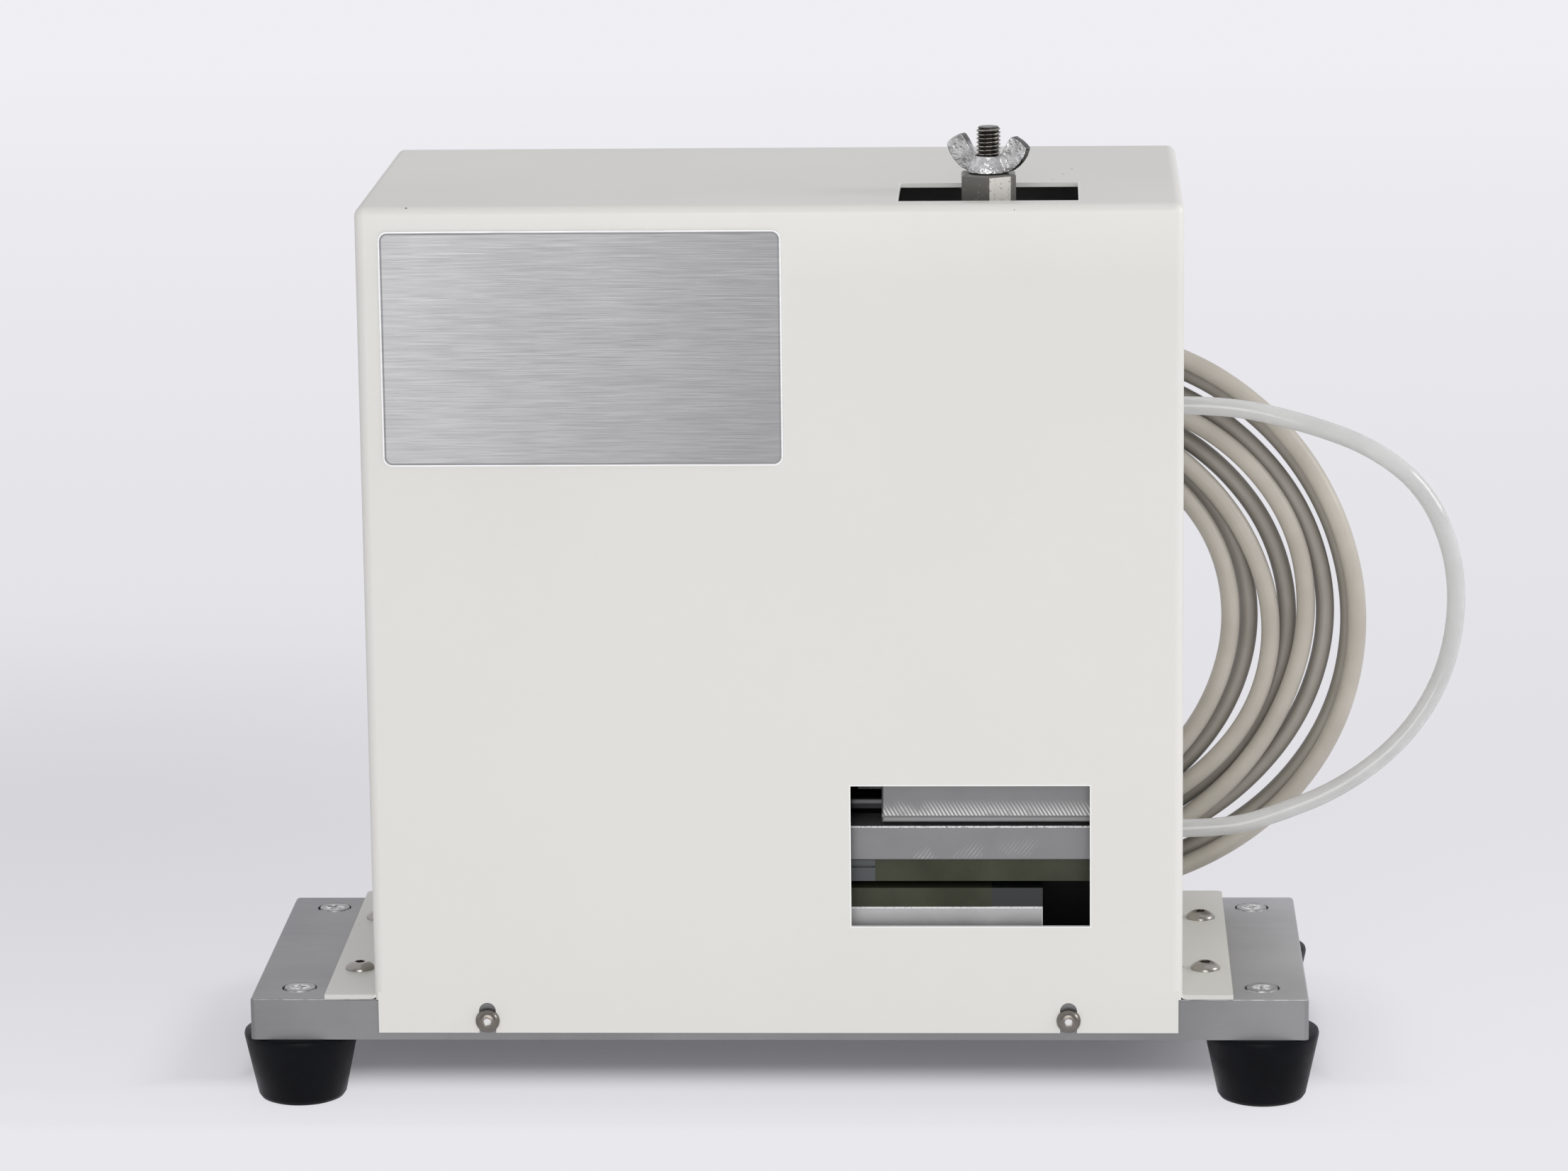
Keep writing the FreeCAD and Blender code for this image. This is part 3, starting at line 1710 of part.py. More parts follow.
def smooth_path(points, name):
    """Straight runs joined by tangent arcs, each as large as its two runs allow."""
    corners = [FreeCAD.Vector(*point) for point in points]
    share = 0.45
    edges = []
    start = corners[0]
    radii = []
    for before, corner, after in zip(corners, corners[1:], corners[2:]):
        way_in = (corner - before).normalize()
        way_out = (after - corner).normalize()
        turn_angle = way_in.getAngle(way_out)
        setback = share * min((corner - before).Length, (after - corner).Length)
        radius = setback / math.tan(turn_angle / 2)
        radii.append(round(radius, 1))
        arc_start = corner - way_in * setback
        arc_end = corner + way_out * setback
        inward = (way_out - way_in).normalize()
        bulge = radius / math.cos(turn_angle / 2) - radius
        edges.append(Part.LineSegment(start, arc_start).toShape())
        edges.append(Part.Arc(arc_start, corner + inward * bulge, arc_end).toShape())
        start = arc_end
    edges.append(Part.LineSegment(start, corners[-1]).toShape())
    print(name, "bend radii:", radii)
    return Part.Wire(edges)


def pipe(path, diameter):
    """A round solid along a path."""
    first_edge = path.Edges[0]
    start = first_edge.valueAt(first_edge.FirstParameter)
    direction = first_edge.tangentAt(first_edge.FirstParameter)
    ring = Part.Wire(Part.makeCircle(diameter / 2, start, direction))
    return path.makePipeShell([ring], True, False)


def tube(label, points, diameter):
    """A cord of its own: a plain round tube along a path."""
    path = smooth_path(points, label)
    solid = pipe(path, diameter)
    expected = math.pi * diameter**2 / 4 * path.Length
    print(label, "length:", round(path.Length, 1), "volume share:", round(solid.Volume / expected, 4))
    item = doc.addObject("Part::Feature", label)
    item.Label = label
    item.Shape = solid


hose_start_x = mm("wall_right") + mm("grommet_lip")
hose_y = mm("hose_y")
hose_route = [
    (hose_start_x, hose_y, mm("hose_upper_level")),
    (147.0, hose_y, mm("hose_upper_level")),
    (173.0, hose_y + 1.0, 209.2),
    (194.5, hose_y + 2.5, 200.6),
    (211.0, hose_y + 3.5, 186.9),
    (220.2, hose_y + 4.0, 167.2),
    (222.4, hose_y + 4.0, 145.6),
    (217.6, hose_y + 3.5, 122.4),
    (204.4, hose_y + 2.5, 101.8),
    (184.2, hose_y + 1.5, 86.2),
    (163.5, hose_y + 0.5, 77.9),
    (147.0, hose_y, mm("hose_lower_level")),
    (hose_start_x, hose_y, mm("hose_lower_level")),
]
tube("air_hose", hose_route, mm("hose_diameter"))

front_y = mm("front_y")
lead_level = mm("coil_back") - front_y - mm("cable_diameter") / 2
tail_level = mm("coil_front") - front_y + mm("cable_diameter") / 2
lead_route = [
    (44.0, mm("gland_end") - front_y, 251.0),
    (44.0, 167.0, 251.0),
    (41.0, 184.5, 243.5),
    (36.5, 193.0, 226.5),
    (29.5, 189.0, 208.0),
    (20.5, 172.5, 193.0),
    (10.5, 153.5, 181.5),
    (2.0, lead_level, 167.0),
    (-2.2, lead_level, 148.5),
]
lead_points = [(x, y + front_y, z) for x, y, z in lead_route]
tube("cable_lead", lead_points, mm("cable_diameter"))

# The free end leaves the coil below the saddle and ends in the plug.
tail_route = [
    (-10.3, tail_level, 116.0),
    (-9.0, tail_level + 2.0, 94.0),
    (-11.0, tail_level + 5.0, 72.0),
]
tail_points = [(x, y + front_y, z) for x, y, z in tail_route]
tube("cable_tail", tail_points, mm("cable_diameter"))


def elliptic_cylinder(x, level, width, height, depth):
    """A cylinder along Y with an elliptical outline, its front face on the coil's front."""
    middle = FreeCAD.Vector(x, mm("coil_front"), level)
    wide = width >= height
    major = max(width, height) / 2
    minor = min(width, height) / 2
    long_end = middle + (X_UNIT if wide else Z_UNIT) * major
    short_end = middle + (Z_UNIT if wide else X_UNIT) * minor
    outline = Part.Ellipse(long_end, short_end, middle).toShape()
    return Part.Face(Part.Wire(outline)).extrude(FreeCAD.Vector(0, depth, 0))


# The whole coil is one ring. Its two ends lie in channels of their own, end to end with the
# turns they belong to.
coil_outside = elliptic_cylinder(
    mm("coil_outer_x"),
    mm("coil_outer_level"),
    mm("coil_outer_width"),
    mm("coil_outer_height"),
    mm("coil_depth"),
)
coil_hollow = elliptic_cylinder(
    mm("coil_inner_x"),
    mm("coil_inner_level"),
    mm("coil_inner_width"),
    mm("coil_inner_height"),
    mm("coil_depth"),
)
channel_width = mm("cable_diameter") + 2 * mm("cable_play")
lead_channel = pipe(smooth_path(lead_points[-4:], "lead channel"), channel_width)
tail_channel = pipe(smooth_path(tail_points, "tail channel"), channel_width)
cable_coil = doc.addObject("Part::Feature", "cable_coil")
cable_coil.Label = "cable_coil"
cable_coil.Shape = coil_outside.cut([coil_hollow, lead_channel, tail_channel])

cable_plug = new_body("cable_plug")
add(
    cable_plug,
    "z",
    "-plug_boot_length - plug_length",
    "-plug_boot_length",
    rectangle("-plug_width/2", "-plug_thickness/2", "plug_width/2", "plug_thickness/2"),
)
add(cable_plug, "z", "-plug_boot_length", "0", ("0", "0", "plug_boot_diameter"))
tail_end = FreeCAD.Vector(*tail_points[-1])
tail_direction = tail_end - FreeCAD.Vector(*tail_points[-2])
cable_plug.Placement = FreeCAD.Placement(tail_end, FreeCAD.Rotation(Z_UNIT, tail_direction.negative()))

coil_saddle = new_body("coil_saddle")
saddle_low = "saddle_level - saddle_height/2"
saddle_high = "saddle_level + saddle_height/2"
inside_left = "coil_outer_x - coil_outer_width/2 - saddle_play"
inside_right = "coil_inner_x - coil_inner_width/2 + saddle_play"
inside_back = "coil_back + saddle_play/2"
saddle_outline = [
    (inside_left + " - saddle_thickness - saddle_foot", "panel_back"),
    (inside_left, "panel_back"),
    (inside_left, inside_back),
    (inside_right, inside_back),
    (inside_right, "panel_back"),
    (inside_right + " + saddle_thickness + saddle_foot", "panel_back"),
    (inside_right + " + saddle_thickness + saddle_foot", "panel_back + saddle_thickness"),
    (inside_right + " + saddle_thickness", "panel_back + saddle_thickness"),
    (inside_right + " + saddle_thickness", inside_back + " + saddle_thickness"),
    (inside_left + " - saddle_thickness", inside_back + " + saddle_thickness"),
    (inside_left + " - saddle_thickness", "panel_back + saddle_thickness"),
    (inside_left + " - saddle_thickness - saddle_foot", "panel_back + saddle_thickness"),
]
add(coil_saddle, "z", saddle_low, saddle_high, saddle_outline)
saddle_screw_xs = [
    inside_left + " - saddle_thickness - saddle_foot/2",
    inside_right + " + saddle_thickness + saddle_foot/2",
]
for pierced, hole in ((coil_saddle, "m_four + hole_clearance"), (rear_panel, "m_four")):
    cut(
        pierced,
        "y",
        "plate_back",
        "panel_back + saddle_thickness",
        *[(x, "saddle_level", hole) for x in saddle_screw_xs],
    )

saddle_screws = new_body("saddle_screws")
saddle_screw = round_head(
    saddle_screws, "m_four_head", "m_four_head_height", "m_four", "m_four_length", "m_four_socket"
)
repeat(saddle_screws, saddle_screw, "x", "(%s) - (%s)" % (saddle_screw_xs[1], saddle_screw_xs[0]), 2)
place(saddle_screws, saddle_screw_xs[0], "panel_back + saddle_thickness", "saddle_level", "back")

# ---- write the sub-parts --------------------------------------------------------------------

doc.recompute()
sub_parts = [item for item in doc.Objects if item.TypeId in ("PartDesign::Body", "Part::Feature")]
for item in doc.Objects:
    if "Invalid" in item.State or "Error" in item.State:
        raise RuntimeError("%s did not recompute: %s" % (item.Label, item.State))
for item in sub_parts:
    if item.Shape.isNull() or not item.Shape.isValid():
        raise RuntimeError("%s has no valid shape" % item.Label)
os.makedirs("parts", exist_ok=True)
for item in sub_parts:
    item.Shape.exportStep(os.path.join("parts", item.Label + ".step"))
print(len(sub_parts), "sub-parts written")
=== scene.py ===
import math

import bmesh
import bpy
from mathutils import Matrix, Vector


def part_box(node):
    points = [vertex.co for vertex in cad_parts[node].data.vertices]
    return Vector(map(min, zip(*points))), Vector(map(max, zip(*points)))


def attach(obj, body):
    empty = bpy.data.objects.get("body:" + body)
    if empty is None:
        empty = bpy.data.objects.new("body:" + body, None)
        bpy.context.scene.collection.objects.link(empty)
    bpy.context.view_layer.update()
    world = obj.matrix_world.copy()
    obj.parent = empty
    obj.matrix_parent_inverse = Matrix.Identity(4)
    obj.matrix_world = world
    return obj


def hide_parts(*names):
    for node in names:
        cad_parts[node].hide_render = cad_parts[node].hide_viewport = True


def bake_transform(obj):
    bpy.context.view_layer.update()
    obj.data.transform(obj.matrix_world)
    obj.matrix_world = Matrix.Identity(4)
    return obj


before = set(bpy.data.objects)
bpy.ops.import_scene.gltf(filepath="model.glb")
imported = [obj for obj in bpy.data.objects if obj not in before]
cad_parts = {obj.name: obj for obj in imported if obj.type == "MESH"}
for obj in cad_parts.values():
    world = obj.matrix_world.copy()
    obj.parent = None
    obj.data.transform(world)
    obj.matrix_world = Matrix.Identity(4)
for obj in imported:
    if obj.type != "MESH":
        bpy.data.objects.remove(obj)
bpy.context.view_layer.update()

# ---- Camera ----
# A long lens a little above the machine, nearly square to its front and turned slightly left.


def new_object(name, data):
    """An object of this data, placed in the scene."""
    made = bpy.data.objects.new(name, data)
    bpy.context.scene.collection.objects.link(made)
    return made


camera_data = bpy.data.cameras.new("camera")
camera_data.lens = 136.963
camera_data.sensor_width = 36
camera_data.sensor_fit = "HORIZONTAL"
camera_data.clip_end = 30
camera = new_object("camera", camera_data)
camera_right = Vector((0.99905138, 0.0419712, -0.01160876))
camera_up = Vector((0.0024992, 0.2108788, 0.97750902))
camera_back = Vector((0.04347527, -0.97661075, 0.21057386))
camera_turn = Matrix((camera_right, camera_up, camera_back)).transposed()
camera.matrix_world = Matrix.Translation((0.08585, -1.91658, 0.57057)) @ camera_turn.to_4x4()
bpy.context.scene.camera = camera
bpy.context.scene.view_settings.view_transform = "Standard"

# ---- Clear air hose ----
# A polyurethane tube, 6 mm outside and 4.2 mm inside, pushed through two holes in the right wall.
# Its own spring holds it out in a D-shaped loop.

HOSE_POINTS = [
    (0.1311, 0.0075, 0.2156),
    (0.147, 0.0075, 0.2156),
    (0.173, 0.0085, 0.2092),
    (0.1945, 0.01, 0.2006),
    (0.211, 0.011, 0.1869),
    (0.2202, 0.0115, 0.1672),
    (0.2224, 0.0115, 0.1456),
    (0.2176, 0.011, 0.1224),
    (0.2044, 0.01, 0.1018),
    (0.1842, 0.009, 0.0862),
    (0.1635, 0.008, 0.0779),
    (0.147, 0.0075, 0.073),
    (0.1311, 0.0075, 0.073),
]


def put_node(tree, kind, inputs=None, **settings):
    """Put a node in a tree, with its inputs set or linked."""
    made = tree.nodes.new(kind)
    for key, value in settings.items():
        setattr(made, key, value)
    for key, value in (inputs or {}).items():
        if isinstance(value, bpy.types.NodeSocket):
            tree.links.new(value, made.inputs[key])
        else:
            made.inputs[key].default_value = value
    return made


def add_node(kind, inputs, **settings):
    """Put a shader node in the tree that feeds it and hand back what comes out of it."""
    fed = [value for value in inputs.values() if isinstance(value, bpy.types.NodeSocket)]
    return put_node(fed[0].id_data, "ShaderNode" + kind, inputs, **settings).outputs


def source(owner, kind):
    """What comes out of a shader node that nothing feeds, in a group or in a material."""
    return put_node(getattr(owner, "node_tree", owner), "ShaderNode" + kind).outputs


def new_group(name, inputs, outputs):
    """Start a shader group with named sockets. An input's value says what kind it is."""
    group = bpy.data.node_groups.new(name, "ShaderNodeTree")
    for socket, value in inputs.items():
        kind = "Float" if isinstance(value, float) else {3: "Vector", 4: "Color"}[len(value)]
        made = group.interface.new_socket(socket, in_out="INPUT", socket_type="NodeSocket" + kind)
        made.default_value = value
    for socket, kind in outputs.items():
        group.interface.new_socket(socket, in_out="OUTPUT", socket_type="NodeSocket" + kind)
    return group, group.nodes.new("NodeGroupInput").outputs, group.nodes.new("NodeGroupOutput").inputs


def join_up(sockets, **outputs):
    """Link each output to the socket of its name."""
    for key, output in outputs.items():
        output.id_data.links.new(output, sockets[key.replace("_", " ")])


def new_finish(name, colour, roughness, metallic=0.0, **plain):
    """A material with one Principled shader and plain values on its own sockets."""
    finish = bpy.data.materials.new(name)
    finish.use_nodes = True
    finish.diffuse_color = (*colour, 1)
    shader = finish.node_tree.nodes["Principled BSDF"]
    shader.inputs["Base Color"].default_value = (*colour, 1)
    shader.inputs["Roughness"].default_value = roughness
    shader.inputs["Metallic"].default_value = metallic
    for key, value in plain.items():
        shader.inputs[key.replace("_", " ")].default_value = value
    return finish


def blend_colour(factor, first, second):
    """Mix two colours by a factor from 0 to 1."""
    return add_node("Mix", {0: factor, 6: first, 7: second}, data_type="RGBA")[2]


def spread(value, low, high, to_low=0.0, to_high=1.0, kind="LINEAR"):
    """Stretch a value's range to another."""
    ranges = {"From Min": low, "From Max": high, "To Min": to_low, "To Max": to_high}
    return add_node("MapRange", {"Value": value, **ranges}, interpolation_type=kind)["Result"]


def own_place(owner):
    """Where a point of the surface lies, in the machine's own measure."""
    return source(owner, "TexCoord")["Object"]


def noise(place, scale, detail):
    """A soft random field from 0 to 1."""
    return add_node("TexNoise", {"Vector": place, "Scale": scale, "Detail": detail})["Fac"]


def drive(finish, **outputs):
    """Link outputs to the inputs of a material's shader."""
    join_up(finish.node_tree.nodes["Principled BSDF"].inputs, **outputs)


def place_effect(finish, effect, **values):
    """Place an effect in a material. Its outputs drive the shader's inputs of the same name."""
    placed = put_node(finish.node_tree, "ShaderNodeGroup", node_tree=effect)
    for key, value in values.items():
        socket = placed.inputs[key.replace("_", " ")]
        socket.default_value = (*value, 1) if socket.type == "RGBA" else value
    shader = finish.node_tree.nodes["Principled BSDF"].inputs
    drive(finish, **{output.name: output for output in placed.outputs if output.name in shader})
    return placed.outputs


# Soft clouds of colour and gloss over a surface, with a fine grain.
clouded, given, result = new_group(
    "clouded",
    {
        "Colour": (0.5, 0.5, 0.5, 1),
        "Cloud colour": (0.4, 0.4, 0.4, 1),
        "Cloud scale": 30.0,
        "Grain scale": 2500.0,
        "Gloss low": 0.3,
        "Gloss high": 0.4,
    },
    {"Base Color": "Color", "Roughness": "Float", "Grain": "Float"},
)
spot = own_place(clouded)
cloud = spread(noise(spot, given["Cloud scale"], 4.0), 0.35, 0.65)
join_up(
    result,
    Base_Color=blend_colour(cloud, given["Colour"], given["Cloud colour"]),
    Roughness=spread(cloud, 0.0, 1.0, given["Gloss low"], given["Gloss high"]),
    Grain=noise(spot, given["Grain scale"], 2.0),
)


def route_curve(name, points, thickness, sides):
    """A smooth cord drawn towards its control points."""
    data = bpy.data.curves.new(name, "CURVE")
    data.dimensions = "3D"
    data.resolution_u = 12
    data.bevel_depth = thickness / 2
    data.bevel_resolution = sides
    data.use_fill_caps = True
    line = data.splines.new("NURBS")
    line.points.add(len(points) - 1)
    for point, place in zip(line.points, points):
        point.co = (*place, 1)
    line.order_u = 3
    line.use_endpoint_u = True
    return new_object(name, data)


def drawn_line(points):
    """The points along a route's smooth line."""
    guide = route_curve("guide", points, 0, 0)
    guide.data.use_fill_caps = False
    bpy.context.view_layer.update()
    mesh = bpy.data.meshes.new_from_object(guide.evaluated_get(bpy.context.evaluated_depsgraph_get()))
    line = [vertex.co.copy() for vertex in mesh.vertices]
    bpy.data.meshes.remove(mesh)
    bpy.data.objects.remove(guide)
    return line


def new_piece(name, build, smooth=True):
    """A mesh object in place, with its faces turned outwards and its corners kept sharp."""
    data = bpy.data.meshes.new(name)
    bmesh.ops.remove_doubles(build, verts=build.verts, dist=1e-7)
    bmesh.ops.recalc_face_normals(build, faces=build.faces)
    for face in build.faces:
        face.smooth = smooth
    build.to_mesh(data)
    build.free()
    if smooth:
        data.set_sharp_from_angle(angle=math.radians(38))
    return new_object(name, data)


def join_rings(build, rings, closed=True):
    """Skin rings of points with faces, one ring to the next."""
    rows = [[build.verts.new(point) for point in ring] for ring in rings]
    for row, following in zip(rows, rows[1:] + (rows[:1] if closed else [])):
        for i in range(len(row)):
            j = (i + 1) % len(row)
            build.faces.new((row[i], row[j], following[j], following[i]))
    return rows


def tube_rings(line, radius, sides):
    """Rings square to a line, none twisted against the last."""
    rings = []
    side = None
    for i, spot in enumerate(line):
        ahead = (line[min(i + 1, len(line) - 1)] - line[max(i - 1, 0)]).normalized()
        if side is None:
            side = ahead.orthogonal()
        side = (side - ahead * side.dot(ahead)).normalized()
        other = ahead.cross(side)
        turns = [2 * math.pi * j / sides for j in range(sides)]
        rings.append([spot + (side * math.cos(t) + other * math.sin(t)) * radius for t in turns])
    return rings


HOSE_OUTSIDE = 0.006
HOSE_INSIDE = 0.0042
hose_line = drawn_line(HOSE_POINTS)
hose_build = bmesh.new()
outer_rings = tube_rings(hose_line, HOSE_OUTSIDE / 2, 40)
inner_rings = tube_rings(hose_line, HOSE_INSIDE / 2, 40)
join_rings(hose_build, outer_rings + inner_rings[::-1])
hose = new_piece("air_hose_tube", hose_build)
hose_finish = new_finish("clear_hose", (0.86, 0.86, 0.85), 0.16, Transmission_Weight=0.5, IOR=1.45)
place_effect(
    hose_finish,
    clouded,
    Colour=(0.88, 0.88, 0.865),
    Cloud_colour=(0.82, 0.82, 0.805),
    Cloud_scale=60.0,
    Gloss_low=0.05,
    Gloss_high=0.08,
)
hose.data.materials.append(hose_finish)
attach(hose, "base")
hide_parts("air_hose")

# ---- Network cable ----
# Round grey cable of 6.3 mm, the kind the machine is used on. It leaves a gland high in the rear
# panel, is wound in eight loose turns under a saddle, and ends in a clear plug.

CABLE_DIAMETER = 0.0063
LEAD_POINTS = [
    (0.044, 0.076, 0.251),
    (0.044, 0.0945, 0.251),
    (0.041, 0.112, 0.2435),
    (0.0365, 0.1205, 0.2265),
    (0.0295, 0.1165, 0.208),
    (0.0205, 0.1, 0.193),
    (0.0105, 0.081, 0.1815),
    (0.0015, 0.0692, 0.167),
    (-0.0038, 0.0692, 0.1485),
]
BACK_LAYER = 0.069
FRONT_LAYER = 0.0626
# Where each pass runs under the saddle, in x and y: five outwards, and four back on the inside.
PASSES = [(x, BACK_LAYER) for x in (-0.0046, 0.0019, 0.0084, 0.0149, 0.0212)]
PASSES += [(x, FRONT_LAYER) for x in (0.0149, 0.0084, 0.0019, -0.0046)]
# How far right each turn reaches, how high and how low it is behind the cover's right wall, how
# many turns it is laid over, and how far and where it wanders out of round.
TURNS = [
    (0.1896, 0.2159, 0.0496, 2.5, 0.0011, 3.2),
    (0.18, 0.2083, 0.0575, 2, 0.0016, 1.5),
    (0.1674, 0.1938, 0.0675, 1, 0.0014, 1.2),
    (0.1548, 0.1805, 0.0794, 0, 0.0012, 0.7),
    (0.1486, 0.1737, 0.0881, 0, 0.0012, 0.5),
    (0.1614, 0.188, 0.0738, 1, 0.0022, 2.4),
    (0.1742, 0.2013, 0.062, 2, 0.0024, 0.1),
    (0.1918, 0.221, 0.0454, 3, 0.0012, 3.1),
]
WALL_X = 0.1333
TURN_POINTS = 16
TAIL_POINTS = [
    (-0.0103, 0.0626, 0.112),
    (-0.009, 0.0646, 0.094),
    (-0.011, 0.0676, 0.072),
]


def turn_points(start, end, reach, high, low, laid_over, wander, phase):
    """One turn of the coil from its pass under the saddle, down and round to the next pass."""
    swell = 1 / math.cos(math.pi / TURN_POINTS)
    points = []
    for i in range(TURN_POINTS):
        share = i / TURN_POINTS
        angle = math.pi * (1 + 2 * share)
        left = start[0] + (end[0] - start[0]) * share
        middle = (left + reach) / 2
        half = (reach - left) / 2
        rise = math.sin(math.acos((WALL_X - middle) / half))
        tall = (high - low) / 2 / rise
        back = start[1] + (end[1] - start[1]) * min(1, share * 6)
        bulge = laid_over * 0.0009 * math.sin(2 * angle) ** 2 * (math.cos(angle) < 0)
        bulge += wander * math.sin(3 * angle + phase) * max(0, math.cos(angle)) ** 0.5
        x = middle + (half * swell + bulge) * math.cos(angle)
        points.append((x, back, (high + low) / 2 + (tall * swell + bulge) * math.sin(angle)))
    return points


def split(place):
    """The three numbers of a place or a direction."""
    return add_node("SeparateXYZ", {"Vector": place})


def raise_surface(finish, height, distance, strength):
    """Let a height shape the surface's shading."""
    height = {"Height": height, "Distance": distance, "Strength": strength}
    drive(finish, Normal=add_node("Bump", height)["Normal"])


cable_points = list(LEAD_POINTS)
for start, end, shape in zip(PASSES, PASSES[1:], TURNS):
    cable_points += turn_points(start, end, *shape)
cable_points += [(PASSES[-1][0] - 0.001, PASSES[-1][1], 0.132)] + TAIL_POINTS
cable = route_curve("network_cable", cable_points, CABLE_DIAMETER, 5)
cable_line = drawn_line(cable_points)
cable_finish = new_finish("grey_cable", (0.37, 0.335, 0.288), 0.42)
cable_cloud = place_effect(
    cable_finish,
    clouded,
    Colour=(0.502, 0.467, 0.407),
    Cloud_colour=(0.433, 0.4, 0.345),
    Cloud_scale=45.0,
    Grain_scale=1800.0,
    Gloss_low=0.36,
    Gloss_high=0.5,
)
# The back layer of turns is painted darker, a painted shade where the front turns shadow it.
layer = split(own_place(cable_finish))["Y"]
back_layer_shade = spread(layer, FRONT_LAYER + 0.0009, BACK_LAYER - 0.001, 0.0, 0.62, kind="SMOOTHSTEP")
back_layer_shade = blend_colour(back_layer_shade, cable_cloud["Base Color"], (0.105, 0.094, 0.081, 1))
drive(cable_finish, Base_Color=back_layer_shade)
raise_surface(cable_finish, cable_cloud["Grain"], 0.0001, 0.35)
cable.data.materials.append(cable_finish)
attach(cable, "base")
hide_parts("cable_lead", "cable_tail", "cable_coil")

# ---- Studio ----
# A pale seamless floor, a large soft lamp in front, a smaller one at the right, and an even glow
# from all round that is dimmer behind the camera.

FLOOR_HALF = 9
FLOOR_NEAR = (0.815, 0.808, 0.842, 1)
FLOOR_MIDDLE = (0.758, 0.752, 0.789, 1)
FLOOR_FAR = (0.868, 0.861, 0.901, 1)
FLOOR_SHADED = (0.61, 0.605, 0.638, 1)
SHADE_MIDDLE = (-0.29, 0.3, 0.0)
SHADE_REACH = 0.42
GLOW_COLOUR = (0.84, 0.835, 0.875, 1)
FOOTPRINT_MIDDLE = (0.0, -0.01, 0.0)
FOOTPRINT_HALF = (0.168, 0.06, 1.0)


def sum_up(operation, first, second=0.0, third=0.0):
    """One step of arithmetic."""
    return add_node("Math", {0: first, 1: second, 2: third}, operation=operation)[0]


def times(first, second):
    """One number multiplied by another."""
    return sum_up("MULTIPLY", first, second)


def move(operation, first, second=(0, 0, 0)):
    """One step of arithmetic on places, which gives a place or a single number."""
    made = add_node("VectorMath", {0: first, 1: second}, operation=operation)
    return made["Value" if operation in ("LENGTH", "DISTANCE", "DOT_PRODUCT") else "Vector"]


def beyond_box(spot, middle, half):
    """How far a spot lies outside a box along each axis, less than 0 where it is inside."""
    return move("SUBTRACT", move("ABSOLUTE", move("SUBTRACT", spot, middle)), half)


def gap_to_box(spot, middle, half):
    """The distance from a spot to a box."""
    return move("LENGTH", move("MAXIMUM", beyond_box(spot, middle, half)))


def seen_rays(owner):
    """1 for what the lens, a mirror or glass sees, 0 for plain light."""
    rays = source(owner, "LightPath")
    either = sum_up("MAXIMUM", rays["Is Camera Ray"], rays["Is Glossy Ray"])
    return sum_up("MAXIMUM", either, rays["Is Transmission Ray"])


floor_build = bmesh.new()
bmesh.ops.create_grid(floor_build, x_segments=1, y_segments=1, size=FLOOR_HALF)
floor = new_piece("floor", floor_build, smooth=False)
floor_finish = new_finish("paper_floor", (0.93, 0.925, 0.965), 0.9, Specular_IOR_Level=0.1)
spot = own_place(floor_finish)
beside = gap_to_box(spot, FOOTPRINT_MIDDLE, FOOTPRINT_HALF)
depth = split(spot)["Y"]
away = 0.0
# The glow takes over from the real shadow in steps, out from the footprint and towards the front.
for value, *reach in (
    (beside, 0.03, 0.36, 0.0, 1.0),
    (beside, 0.002, 0.014, 0.0, 0.46),
    (beside, 0.0, 0.055, 0.0, 0.8),
    (depth, -0.02, -0.055, 0.08, 0.84),
    (depth, -0.051, -0.1, 0.0, 1.0),
):
    away = sum_up("MAXIMUM", away, spread(value, *reach, kind="SMOOTHSTEP"))
near_colour = blend_colour(spread(depth, -0.1, 0.35), FLOOR_NEAR, FLOOR_MIDDLE)
glow_colour = blend_colour(spread(depth, 0.35, 2.6), near_colour, FLOOR_FAR)
shade = spread(move("DISTANCE", spot, SHADE_MIDDLE), SHADE_REACH, 0.0, 0.0, 0.6, kind="SMOOTHSTEP")
glow_colour = blend_colour(shade, glow_colour, FLOOR_SHADED)
glow = add_node("Emission", {"Color": glow_colour, "Strength": 1.0})["Emission"]
shown = times(away, seen_rays(floor_finish))
floor_nodes = floor_finish.node_tree.nodes
paper = floor_nodes["Principled BSDF"].outputs["BSDF"]
mixed = add_node("MixShader", {0: shown, 1: paper, 2: glow})
join_up(floor_nodes["Material Output"].inputs, Surface=mixed[0])
floor.data.materials.append(floor_finish)

world = bpy.data.worlds.new("studio")
bpy.context.scene.world = world
world.use_nodes = True
ahead = split(source(world, "TexCoord")["Generated"])
behind_camera = spread(ahead["Y"], -0.15, -0.75, kind="SMOOTHSTEP")
mirrored = blend_colour(behind_camera, GLOW_COLOUR, (0.4, 0.4, 0.42, 1))
shine = blend_colour(source(world, "LightPath")["Is Glossy Ray"], GLOW_COLOUR, mirrored)
upper_right = sum_up("MULTIPLY_ADD", ahead["Z"], 0.5, ahead["X"])
upper_right = spread(upper_right, -0.5, 0.6)
side_glow = blend_colour(upper_right, (0.48, 0.48, 0.492, 1), (0.71, 0.71, 0.725, 1))
glow_colour = blend_colour(seen_rays(world), side_glow, shine)
join_up(world.node_tree.nodes["Background"].inputs, Color=glow_colour)


def soft_lamp(name, place, target, size, power):
    """A square lamp turned towards a point."""
    data = bpy.data.lights.new(name, "AREA")
    data.size = size
    data.energy = power
    turn = (Vector(target) - Vector(place)).to_track_quat("-Z", "Y")
    new_object(name, data).matrix_world = Matrix.Translation(place) @ turn.to_matrix().to_4x4()


soft_lamp("front_lamp", (0.0, -1.68, 0.42), (0, 0, 0.12), 1.0, 9.9)
soft_lamp("right_lamp", (1.5, -0.1, 0.75), (0.1, 0, 0.15), 0.5, 6.5)

# ---- Rubber feet ----
# Four moulded black rubber feet, tapered, each held by a screw through the base plate with a
# washer and nut in the foot's recess.


